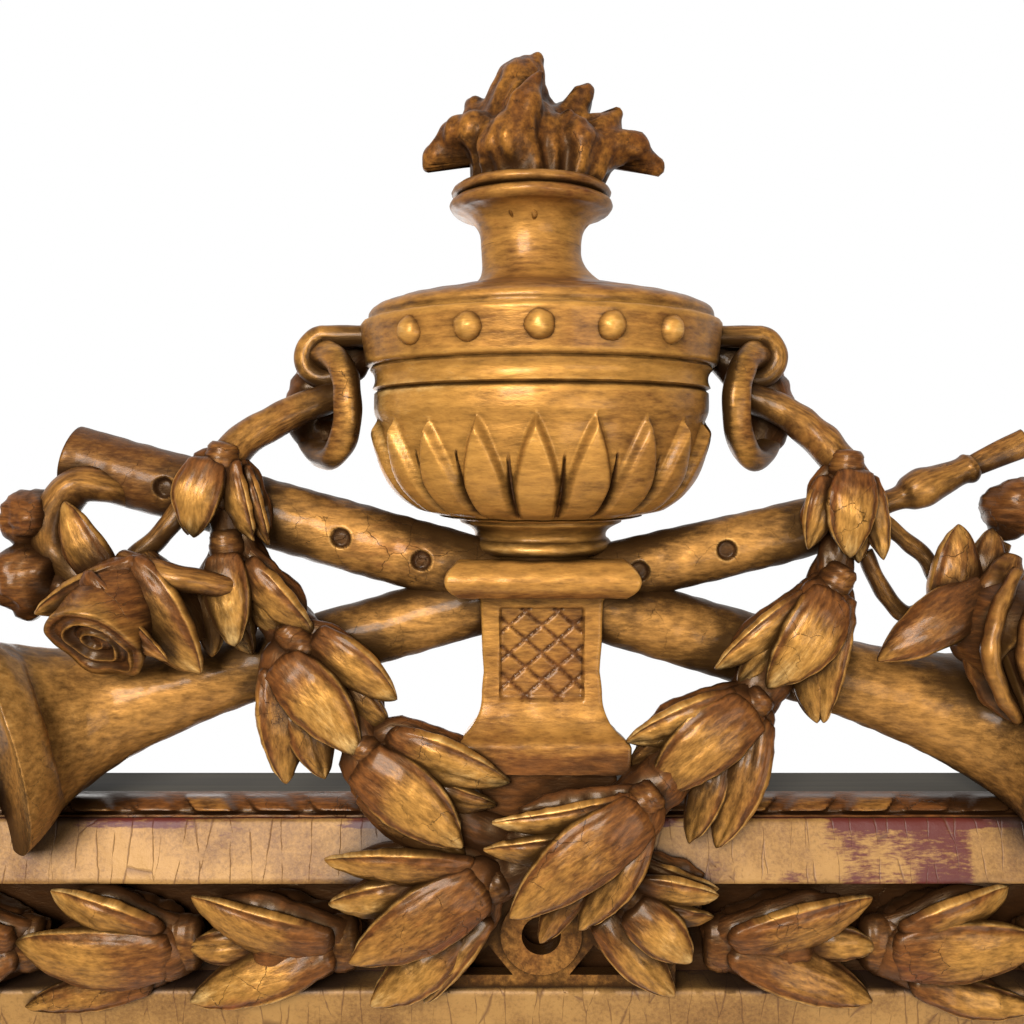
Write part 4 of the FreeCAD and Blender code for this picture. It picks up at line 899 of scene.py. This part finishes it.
# beads on the rim: small domes, rounder than half
bead = np.linspace(0, 0.72 * np.pi, urn["beadRows"])
for index in range(urn["beads"]):
    degrees = (urn["beadOffset"] + 360 * index / urn["beads"] + 180) % 360 - 180
    angle = math.radians(degrees)
    out = np.array([math.sin(angle), -math.cos(angle), 0.0])
    centre = crest(out[0] * urn["beadOut"], urn["proud"] - out[1] * urn["beadOut"], urn["beadLevel"])
    if abs(degrees) < urn["beadSpan"]:
        dome = turnedForm(centre, out, urn["beadRadius"] * np.cos(bead), urn["beadRadius"] * np.sin(bead), 22)
        beadGold = np.linspace(0.95, 0.0, urn["beadRows"])[:, None]
        patches.append(patch(handCut(dome, 0.25, 5, 60 + index), beadGold))
buildPiece("urn_body_carved", patches, [giltTurning], ["urn_foot", "urn_bowl", "urn_rim", "urn_shoulder"],
           crease=60)
profile = profilePoints(urn["neck"], urn["neckStepMm"])
turn = np.linspace(-np.pi, np.pi, urn["neckSides"], endpoint=False)
points = urnPoints(profile[:, 0][:, None], profile[:, 1][:, None], turn, urn["neckShift"])
points = handCut(points, 0.18, 12, 4)
points = capped(points, *crest(urn["neckShift"], urn["proud"], profile[[0, -1], 1]))
bulge = np.concatenate([[0.5], 0.55 - 0.2 * ease(26, 32, profile[:, 0]), [0.1]])[:, None]
buildPiece("urn_neck_turned", [patch(points, bulge)], [giltTurning], ["urn_neck"], crease=60)
print("urn turned with", len(patches) - 1, "beads")

# flame: tapered limbs as across, proud, up and radius at each station, melted into one carved mass
flame = {
    "middle": (-6.0, 24.0, 266.0), "reach": 58.0, "blend": 1.5, "rows": 150, "sides": 210, "steps": 100,
    "flutes": 17, "fluteDeep": 1.1, "fluteFade": (274, 254), "gold": 0.2, "lickGold": 0.28, "fluteGold": 0.2,
    "limbs": (
        ((-4, 22, 250, 25), (-4, 22, 262, 23)),
        ((-4, 20, 262, 15), (-10, 22, 280, 14), (-8, 22, 294, 9), (-2, 21, 303, 2.6)),
        ((-16, 18, 264, 10), (-25, 18, 278, 8), (-28, 18, 286, 4)),
        ((-16, 28, 260, 10), (-26, 30, 271, 7.5), (-34, 28, 271, 6), (-42, 25, 264, 4.4),
         (-45, 24, 260, 3.2)),
        ((-6, 38, 254, 9), (-11, 42, 266, 8), (-7, 42, 278, 5.5), (-1, 39, 291, 1.8)),
        ((-16, 38, 252, 6), (-19, 41, 262, 5), (-16, 40, 272, 2)),
        ((12, 34, 254, 9), (15, 38, 266, 6.5), (11, 38, 276, 2)),
        ((6, 22, 262, 11), (11, 22, 278, 7), (17, 22, 288, 4), (19, 22, 291, 2.6)),
        ((16, 26, 260, 10), (24, 26, 272, 7), (30, 26, 280, 2.2)),
        ((18, 30, 258, 9), (28, 30, 266, 6), (38, 28, 266, 5), (46, 25, 260, 3.4)))}


# carved mass: along each direction from a middle, the farthest place still inside the smooth union of
# the limbs; distance to a limb is that to its tapered segments, the union is a soft minimum
def massForm(form):
    polar = np.linspace(0, np.pi, form["rows"])[:, None]
    turn = fullTurn(form["sides"])
    ray = np.stack([np.sin(polar) * np.cos(turn), np.sin(polar) * np.sin(turn), np.cos(polar) + 0 * turn], -1)
    middle = crest(*form["middle"])
    steps = np.linspace(0.5, form["reach"], form["steps"])
    spots = (middle + ray[:, :, None] * steps[:, None]).astype(np.float32)
    total = np.zeros(spots.shape[:3], np.float32)
    for stations in form["limbs"]:
        known = np.array(stations, float)
        ends = crest(known[:, 0], known[:, 1], known[:, 2]).astype(np.float32)
        for root, tip, rootWide, tipWide in zip(ends[:-1], ends[1:], known[:-1, 3], known[1:, 3]):
            share = np.clip((spots - root) @ (tip - root) / np.sum((tip - root) ** 2), 0, 1)
            gap = np.linalg.norm(spots - root - share[..., None] * (tip - root), axis=-1)
            gap = gap - (rootWide + share * (tipWide - rootWide))
            total += np.exp(np.clip(-gap / form["blend"], -30, 30))
    solid = total > 1
    last = form["steps"] - 1 - np.argmax(solid[..., ::-1], -1)
    after = np.minimum(last + 1, form["steps"] - 1)
    inner, outer = (np.log(np.maximum(np.take_along_axis(total, at[..., None], -1)[..., 0], 1e-9))
                    for at in (last, after))
    part = np.clip(inner / np.maximum(inner - outer, 1e-6), 0, 1)
    return middle + ray * (steps[last] + part * (steps[1] - steps[0]))[..., None]


points = massForm(flame)
around = np.arctan2(points[..., 0] - urn["neckShift"], -(points[..., 1] + urn["proud"]))
low = ease(*flame["fluteFade"], points[..., 2] - frameTop)
flutes = flame["fluteDeep"] * np.cos(flame["flutes"] * around + 1.5 * waviness(points, 30, 92)) * low
licks = waviness(points * (1.5, 1.5, 0.45), 13, 91) * 0.9 + waviness(points * (1.4, 1.4, 0.7), 6, 93) * 0.22
points = points + gridNormals(points, True) * (flutes + licks)[..., None]
gold = flame["gold"] + flame["lickGold"] * licks + flame["fluteGold"] * flutes
buildPiece("urn_flame_carved", [patch(points, gold)], [giltFlame], ["urn_flame"])
print("flame carved from", len(flame["limbs"]), "limbs")

# pedestal: square sections with rounded corners, half width by height; lattice cut in a sunk panel
pedestal = {
    "proud": 22.0, "corner": 1.6, "panelHalf": 16.5, "panelLow": 45.0, "panelHigh": 82.0, "panelDeep": 1.7,
    "drawnIn": 0.3, "latticePitch": 13.0, "latticeDeep": 0.9, "latticeWide": 0.75, "latticeMiddle": 63.5,
    "latticeSteep": 1.15, "columns": 300, "stepMm": 0.75, "knife": 0.16, "knifeMm": 11, "gold": 0.45,
    "arrisGold": 0.3, "latticeGold": -0.35, "panelGold": -0.1, "footGold": -0.45, "capGold": 0.12,
    "underGold": -0.25, "drawnFade": (62, 40), "footFade": (34, 18), "capFade": (93, 98),
    "underFrom": (86, 87), "underTo": (92, 88),
    "side": ((30, 0), (30, 17), (35, 18), (35, 28.5), (34.4, 30), (33.2, 31), (26.6, 37.5, 24.2, 48),
             (23.4, 56), (24.6, 84.5), (25.5, 86.5), (32.8, 86.9), (38.0, 93.6, 33.4, 100.6), (32.4, 101))}
profile = profilePoints(pedestal["side"], pedestal["stepMm"])
# square walked round evenly by side, corners rounded after
reach = np.linspace(0, 8, pedestal["columns"], endpoint=False)
squareX = np.interp(reach, (0, 2, 4, 6, 8), (-1, -1, 1, 1, -1))
squareY = np.interp(reach, (0, 2, 4, 6, 8), (-1, 1, 1, -1, -1))
half = profile[:, 0][:, None]
corner = pedestal["corner"]
x = squareX * half
y = squareY * half
pull = np.maximum(np.abs(x) - half + corner, 0), np.maximum(np.abs(y) - half + corner, 0)
over = np.maximum(np.hypot(*pull), 1e-9)
shrink = np.where((pull[0] > 0) & (pull[1] > 0) & (over > corner), corner / over, 1.0)
x = np.sign(x) * (np.abs(x) - pull[0] * (1 - shrink))
y = np.sign(y) * (np.abs(y) - pull[1] * (1 - shrink))
level = np.broadcast_to(profile[:, 1][:, None], x.shape)
back = np.clip((half - y) / (half + pedestal["proud"]), 0, 1)
x = x * (1 - pedestal["drawnIn"] * ease(*pedestal["drawnFade"], level) * back)
onFront = squareY > 0.999
within = (ease(-0.5, 0.5, pedestal["panelHalf"] - np.abs(x)) * ease(-0.5, 0.5, pedestal["panelHigh"] - level)
          * ease(-0.5, 0.5, level - pedestal["panelLow"]) * onFront)
lattice = 0
for slant in (1, -1):
    climb = slant * (level - pedestal["latticeMiddle"]) * pedestal["latticeSteep"]
    phase = ((x + climb) / pedestal["latticePitch"] + 0.5) % 1 - 0.5
    lattice = np.maximum(lattice, bell(phase * pedestal["latticePitch"], 0, pedestal["latticeWide"]))
y = y - within * (pedestal["panelDeep"] + pedestal["latticeDeep"] * lattice)
points = crest(x, np.maximum(pedestal["proud"] + y, backGap), level)
points = handCut(points, pedestal["knife"], pedestal["knifeMm"], 8)
points[..., 1] = np.minimum(points[..., 1], -backGap)
points = capped(points, *crest(0, pedestal["proud"], profile[[0, -1], 1]))
arris = ease(0.94, 1.0, np.minimum(np.abs(squareX), np.abs(squareY)))[None] * np.ones_like(level)
gold = pedestal["gold"] + pedestal["arrisGold"] * arris + pedestal["latticeGold"] * within * lattice
gold = gold + pedestal["panelGold"] * within + pedestal["footGold"] * ease(*pedestal["footFade"], level)
# painted highlight: more gold on the top of the cap, where the light falls
gold = gold + pedestal["capGold"] * ease(*pedestal["capFade"], level)
# painted shade: less gold on the underside of the cap's rounded edge
capShadeBand = ease(*pedestal["underTo"], level) * ease(*pedestal["underFrom"], level)
gold = gold + pedestal["underGold"] * capShadeBand
gold = np.concatenate([gold[:1], gold, gold[-1:]])
buildPiece("pedestal_carved", [patch(points, gold)], [giltTurning], ["pedestal"], crease=50)
print("pedestal carved")

# handles: a ring hung through a fixed loop on each side of the rim, over a backing left in the wood
handle = {"out": 88.5, "proud": 26.0, "level": 162.5, "radius": 20.8, "wire": 5.6, "turnDegrees": 55,
          "loopOut": 88.5, "loopLevel": 182.5, "loopRadius": 8.8, "loopWire": 4.5, "loopRoot": 68.0,
          "loopProud": 2, "loopFrom": 0.55, "loopTo": -0.75, "loopSteps": 11, "rows": 110, "sides": 36,
          "squared": 0.05, "knife": 0.35, "knifeMm": 14, "gold": 0.35, "outerGold": 0.35, "innerGold": 0.25,
          "backing": ((-72, 10, 190, 8), (-86, 12, 180, 11), (-94, 14, 168, 12), (-96, 14, 156, 11),
                      (-92, 16, 146, 7))}


# ring: a circle of a radius about a middle, carrying a round section that is a little squared
def ringForm(middle, axis, radius, wire, seed):
    axis = unit(np.array(axis, float))
    across = unit(np.cross(axis, (0.0, 0.0, 1.0)))
    up = np.cross(across, axis)
    around = fullTurn(handle["rows"])
    section = fullTurn(handle["sides"])
    spoke = np.cos(around)[:, None] * across + np.sin(around)[:, None] * up
    squared = wire * (1 + handle["squared"] * np.cos(4 * section))
    points = (np.array(middle, float) + (radius + (squared * np.cos(section))[None, :, None]) * spoke[:, None]
              + (squared * np.sin(section))[None, :, None] * axis)
    points = np.concatenate([points, points[:1]])
    points = handCut(points, handle["knife"], handle["knifeMm"], seed)
    points[-1] = points[0]
    gold = handle["gold"] + handle["outerGold"] * np.clip(np.cos(section), 0, 1) ** 3
    gold = gold + handle["innerGold"] * np.clip(-np.cos(section), 0, 1) ** 3
    return patch(points, np.broadcast_to(gold, points.shape[:2]))


for name, side in (("left", -1), ("right", 1)):
    angle = math.radians(handle["turnDegrees"])
    middle = crest(side * handle["out"], handle["proud"], handle["level"])
    axis = (side * math.sin(angle), -math.cos(angle), 0)
    ring = ringForm(middle, axis, handle["radius"], handle["wire"], 21 + side)
    loop = []
    for bend in np.linspace(handle["loopFrom"], handle["loopTo"], handle["loopSteps"]):
        out = handle["loopOut"] + handle["loopRadius"] * math.cos(bend * math.pi)
        up = handle["loopLevel"] + handle["loopRadius"] * math.sin(bend * math.pi)
        loop.append((side * out, urn["proud"] + handle["loopProud"], up, handle["loopWire"]))
    first = (side * handle["loopRoot"],) + loop[0][1:]
    backing = [(-side * x, proud, up, size) for x, proud, up, size in handle["backing"]]
    patches = [ring, limb([first] + loop, 60, 30, seed=31 + side, gold=0.6),
               limb(backing, 40, 30, flat=0.7, knife=0.8, seed=35 + side, gold=0.05, knifeMm=9)]
    buildPiece("urn_handle_" + name + "_carved", patches, [giltCarving], ["urn_handle_" + name])

# branches from the handles to the garlands
branches = {
    "left": ((-82, 27, 167, 6.0), (-100, 33, 160, 6.5), (-116, 41, 150, 7.0), (-125, 47, 140, 7.0)),
    "right": ((82, 27, 168, 6.0), (98, 33, 160, 6.5), (110, 41, 149, 7.0), (118, 47, 138, 7.0))}
for name, stations in branches.items():
    branch = limb(stations, 46, 34, knife=0.35, seed=41)
    buildPiece("branch_" + name + "_carved", [branch], [giltCarving], ["branch_" + name])
print("handles and branches carved")

# shawms: straight pipes with finger holes, the lower two opening to bells
pipes = {
    "upper_left": ((-18, 30, 92, 14.5), (-75, 30, 108.1, 14.2), (-133, 30, 124.6, 13.8),
                   (-191, 30, 141, 13.5)),
    "upper_right": ((18, 30, 91, 13), (60, 30, 101, 12.6), (106, 30, 112, 12), (136, 30, 121, 10.5)),
    "lower_left": ((-16, 30, 85, 13.5), (-68, 30, 70, 13.8), (-120, 30, 55, 14.5), (-150, 28, 46, 17.5),
                   (-180, 28, 38, 24), (-204, 36, 32, 34), (-220, 50, 28, 46)),
    "lower_right": ((16, 30, 83, 14.5), (68, 30, 67.5, 14.8), (120, 30, 52, 15.5), (150, 28, 43, 18.5),
                    (180, 28, 35, 25), (204, 36, 29, 34), (220, 50, 25, 46))}
pipeHoles = {"upper_left": ((-150, 129.5), (-80, 109.5), (-48, 100.5)),
             "upper_right": ((74, 104.5), (39, 96))}
holeShape = {"radius": 3.7, "deep": 2.6, "soft": 0.6, "gold": -0.7, "rimGold": 0.4, "rimOut": 0.7,
             "rimWide": 0.5}
pipeShape = {"rows": 220, "sides": 110, "knife": 0.22, "gold": 0.62, "endGold": -0.4, "bellGold": 0.3,
             "dish": 8, "endFade": (-118, -140), "bellFade": (185, 205)}
for name, stations in pipes.items():
    part = limb(stations, pipeShape["rows"], pipeShape["sides"], knife=pipeShape["knife"], seed=51,
                gold=pipeShape["gold"])
    points, gold = part["points"], np.array(part["gold"])
    for x, up in pipeHoles.get(name, ()):  # holes sunk straight back from the front
        away = np.hypot(points[..., 0] - x, points[..., 2] - frameTop - up)
        sunk = ease(holeShape["radius"] + holeShape["soft"], holeShape["radius"] - holeShape["soft"], away)
        sunk = sunk * (points[..., 1] < -stations[0][1])
        points[..., 1] += holeShape["deep"] * sunk
        lip = bell(away, holeShape["radius"] + holeShape["rimOut"], holeShape["rimWide"])
        lip = lip * (points[..., 1] < -stations[0][1])
        gold = gold + holeShape["gold"] * sunk + holeShape["rimGold"] * lip
    if name == "upper_left":  # toned brown towards the open end
        gold = gold + pipeShape["endGold"] * ease(*pipeShape["endFade"], points[..., 0])
    if name.startswith("lower"):  # bell mouth dished in the last stretch
        mouth = points[-1, 0]
        inward = unit(points[0, 0] - mouth)
        points[-1] = mouth + inward * pipeShape["dish"]
        gold = gold + pipeShape["bellGold"] * ease(*pipeShape["bellFade"], np.abs(points[..., 0]))
    buildPiece("pipe_" + name + "_turned", [patch(points, gold)], [giltPipe], ["pipe_" + name])
print("pipes turned:", len(pipes))

# mouthpiece of the right-hand shawm: turned staple and a flat reed
mouthpiece = {
    "staple": ((132, 30, 119.5, 5.2), (140, 30, 122.5, 4.9), (147, 30, 125, 5.0), (151, 30, 126.7, 7.4),
               (156, 30, 129, 8.2), (161, 30, 131, 7.4), (167, 30, 133.6, 6.0), (172, 30, 135.8, 5.6),
               (175, 30, 137, 6.2), (177, 30, 138, 5.0)),
    "reed": ((175, 30, 137, 4.4), (182, 30, 140.5, 5.0), (190, 30, 144, 5.5), (198, 30, 147.6, 6.0)),
    "reedFlat": 0.55}
patches = [limb(mouthpiece["staple"], 70, 40, seed=61),
           limb(mouthpiece["reed"], 30, 36, mouthpiece["reedFlat"], seed=62)]
buildPiece("mouthpiece_right_turned", patches, [giltCarving], ["mouthpiece_right"])

# roses: a cup of petals whose heart winds in a spiral, sepals over it, leaves, buds and twigs
rose = {"heart": 3.0, "winds": 2.6, "windHigh": 1.9, "petals": 5, "stalk": 6, "sides": 120, "wave": 0.8,
        "lip": 0.8, "knife": 0.35, "knifeMm": 12, "gold": 0.05, "rimGold": 0.55, "windGold": 0.5,
        "leafGold": -0.22}


# rose: outer wall from the stalk to a rolled rim, then inwards in a spiral of petal edges
def roseForm(at, faces, radiusMm, lengthMm, seed):
    sides = rose["sides"]
    turn = fullTurn(sides)
    heading = unit(np.array(faces, float))
    ring = spokes(heading, (0.2, 0.3, 0.93), turn)
    petals = rose["petals"] * turn
    wall = np.linspace(0, 1, 26)[:, None]
    swell = np.sin(np.pi / 2 * np.clip(wall * 2.0, 0, 1)) ** 0.8
    outRadius = (rose["stalk"] + (radiusMm - rose["stalk"]) * swell) * (1 + 0.03 * np.cos(petals + 1) * wall)
    outRadius = outRadius + rose["lip"] * ease(0.86, 0.97, wall)
    outReach = lengthMm * wall + rose["wave"] * np.cos(petals + 0.4) * wall ** 3
    inner = np.linspace(1, 0, 60)[1:, None]
    spiral = (inner * rose["winds"] + turn / (2 * np.pi)) % 1
    edge = bell(spiral, 0.75, 0.14) - 0.6 * bell(spiral, 0.35, 0.2)
    inRadius = radiusMm * 0.93 * inner * (1 + 0.05 * np.cos(petals + 1) * inner)
    inReach = lengthMm - rose["heart"] * (1 - inner ** 2) * 0.75
    inReach = inReach + rose["windHigh"] * edge * ease(0, 0.25, inner) * ease(1, 0.85, inner)
    inReach = inReach + rose["wave"] * np.cos(petals + 0.4) * inner ** 3
    radius = np.concatenate([np.zeros((1, sides)), outRadius, inRadius])
    reach = np.concatenate([np.zeros((1, sides)), outReach, inReach])
    points = crest(*at) + reach[..., None] * heading + radius[..., None] * ring
    points = handCut(points, rose["knife"], rose["knifeMm"], seed)
    outGold = rose["gold"] + rose["rimGold"] * wall ** 4 + 0 * turn
    inGold = rose["gold"] + rose["windGold"] * np.clip(edge, 0, 1) * ease(0, 0.25, inner)
    return patch(points, np.concatenate([np.full((1, sides), 0.1), outGold, inGold]))


sprays = {
    "left": {
        "at": (-157, 46, 99), "faces": (-0.22, -0.72, -0.66), "cup": (18, 40),
        "leaves": (((-154, 64, 100), 203, 42, 16, 35), ((-158, 62, 99), -55, 48, 32, -20),
                   ((-167, 73, 97), -46, 42, 11, -20), ((-168, 54, 95), 118, 34, 17, 10)),
        "stems": (((-162, 56, 101, 5.4), (-141, 65, 97, 5.2), (-124, 60, 93, 4.8), (-116, 54, 91, 3.5)),
                  ((-168, 45, 96, 4.6), (-152, 44, 110, 4.4), (-138, 42, 128, 4.4)),
                  ((-158, 46, 94, 4.5), (-178, 47, 101, 4.5), (-194, 46, 110, 4.0)),
                  ((-180, 44, 92, 7.5), (-193, 45, 106, 8.0), (-192, 45, 120, 8.0), (-184, 44, 130, 7.6),
                   (-174, 40, 130, 6.6), (-164, 30, 126, 6), (-158, 22, 124, 4)),
                  ((-158, 48, 101, 7), (-148, 52, 88, 11), (-141, 54, 78, 11), (-136, 54, 69, 6))),
        "buds": ((-202, 46, 117, 10.5), (-203, 46, 93, 13.5), (-190, 44, 88, 9))},
    "right": {
        "at": (166, 47, 86), "faces": (0.55, -0.6, -0.5), "cup": (20, 30),
        "leaves": (((168, 60, 90), -146, 48, 23, -25), ((170, 68, 84), -72, 50, 17, 25),
                   ((178, 68, 84), -58, 48, 17, 10), ((158, 52, 82), 85, 34, 20, 0),
                   ((170, 49, 88), 78, 27, 17, 10)),
        "stems": (((160, 46, 88, 4.0), (146, 46, 79, 3.6), (136, 45, 88, 3.4), (128, 44, 104, 3.4)),
                  ((157, 46, 92, 3.4), (152, 45, 102, 3.4), (143, 43, 110, 3.4), (132, 41, 120, 3.4)),
                  ((164, 46, 88, 3.5), (176, 47, 96, 3.5), (182, 46, 108, 3.0)),
                  ((176, 70, 100, 2.4), (166, 76, 85, 3.2), (163, 78, 69, 3.5), (169, 76, 54, 3.0),
                   (178, 70, 43, 2.0)),
                  ((184, 76, 96, 2.4), (175, 81, 83, 3.0), (173, 82, 69, 3.0), (180, 79, 54, 2.2))),
        "petal": ((180, 58, 104, 4.0), (175, 61, 90, 11.0), (173, 62, 72, 13.5), (176, 62, 55, 11.0),
                  (183, 62, 42, 3.5)),
        "buds": ((186, 46, 121, 11.5),)}}
bud = {"swell": 0.15, "long": 1.15, "leans": (0.15, -0.2, 1), "lump": 1.6, "lumpMm": 14, "knife": 0.5,
       "knifeMm": 5, "gold": 0.15}
for order, (name, spray) in enumerate(sprays.items()):
    patches = [roseForm(spray["at"], spray["faces"], *spray["cup"], 70 + order)]
    for index, (root, aim, length, width, roll) in enumerate(spray["leaves"]):
        part = leafShell(crest(*root), aim, length, width, 300 + 10 * order + index, roll)
        patches.append({**part, "gold": part["gold"] + rose["leafGold"]})
    for stations in spray["stems"]:
        patches.append(limb(stations, 40, 24, knife=0.35, seed=80))
    if "petal" in spray:
        patches.append(limb(spray["petal"], 40, 40, flat=0.55, knife=0.8, seed=83, gold=0.3))
    for index, (x, proud, up, size) in enumerate(spray["buds"]):
        along = np.linspace(-1, 1, 24)
        radius = size * np.sqrt(np.maximum(1 - along ** 2, 0)) * (1 + bud["swell"] * along)
        form = turnedForm(crest(x, proud, up), bud["leans"], along * size * bud["long"], radius, 36)
        form = handCut(form, bud["lump"], bud["lumpMm"], 85 + index)
        patches.append(patch(handCut(form, bud["knife"], bud["knifeMm"], 95 + index), bud["gold"]))
    buildPiece("rose_" + name + "_carved", patches, [giltCarving], ["rose_" + name])
print("roses carved")

# studio: pale floor, white surroundings behind, softboxes above and in front
studio = {
    "floorDrop": 0.03, "floorSize": 1.6, "backdrop": 1.0, "room": 0.08,
    "lamps": (("key softbox", (-0.42, -1.38, 1.08), (0.0, 0.0, 0.62), 0.6, 44.0),
              ("top softbox", (0.1, -0.7, 1.8), (0.0, -0.03, 0.6), 0.9, 2.0),
              ("right fill", (0.75, -1.3, 0.4), (0.15, 0.0, 0.5), 0.8, 12.0),
              ("rear fill", (-0.7, 1.9, 0.15), (0.0, 0.0, 0.1), 1.2, 16.0))}
half = studio["floorSize"]
floorMesh = bpy.data.meshes.new("studio floor")
floorLevel = cadBox[0][2] - studio["floorDrop"]
floorCorners = [(x * half, y * half, floorLevel) for x, y in ((-1, -1), (1, -1), (1, 1), (-1, 1))]
floorMesh.from_pydata(floorCorners, [], [(0, 1, 2, 3)])
floor = linkObject("studio_floor", floorMesh)
floorPaint, add = newMaterial("matt white studio floor")
paint = add("BsdfPrincipled", {"Base Color": hexColour("#EDEDEB"), "Roughness": 0.8})
add("OutputMaterial", {"Surface": paint})
floorMesh.materials.append(floorPaint)

world = bpy.data.worlds.new("studio surroundings")
bpy.context.scene.world = world
world.use_nodes = True
world.node_tree.nodes.clear()
add = partial(addNode, world.node_tree)
rays = add("LightPath").node.outputs
direction = add("TexCoord", give="Generated")
parts = add("SeparateXYZ", {0: direction}).node.outputs
behind = add("MapRange", {
    "Value": parts["Y"], "From Min": -0.05, "From Max": 0.25}, interpolation_type="SMOOTHSTEP")
seen = add("Math", {0: rays["Is Glossy Ray"], 1: rays["Is Transmission Ray"]}, operation="MAXIMUM")
seen = add("Math", {0: seen, 1: behind}, operation="MULTIPLY")
seen = add("Math", {0: seen, 1: rays["Is Camera Ray"]}, operation="MAXIMUM")
strength = add("MapRange", {
    "Value": seen, "To Min": studio["room"], "To Max": studio["backdrop"]})
shine = add("Background", {"Color": (1, 1, 1, 1), "Strength": strength})
add("OutputWorld", {"Surface": shine})


# turn a lamp so that it looks from one place to another
def lookFrom(thing, place, target):
    thing.location = place
    thing.rotation_euler = (Vector(target) - Vector(place)).to_track_quat("-Z", "Y").to_euler()


for name, place, target, size, power in studio["lamps"]:
    lamp = bpy.data.lights.new(name, "AREA")
    lamp.size = size
    lamp.energy = power
    lookFrom(linkObject(name, lamp), place, target)

# camera close to the crest, a little above the urn, as a hand-held photograph
view = {"place": (-0.0119, -0.434, frameTop * mm + 0.1445), "pitchDegrees": -3.6, "focalMm": 34.66,
        "sensorMm": 36.0, "nearest": 0.02}
camera = bpy.data.cameras.new("photograph camera")
camera.lens = view["focalMm"]
camera.sensor_width = view["sensorMm"]
camera.clip_start = view["nearest"]
cameraObject = linkObject("photograph_camera", camera)
cameraObject.location = view["place"]
cameraObject.rotation_euler = (math.radians(90 + view["pitchDegrees"]), 0, 0)
bpy.context.scene.camera = cameraObject
bpy.context.scene.view_settings.view_transform = "Standard"
print("camera and studio set")
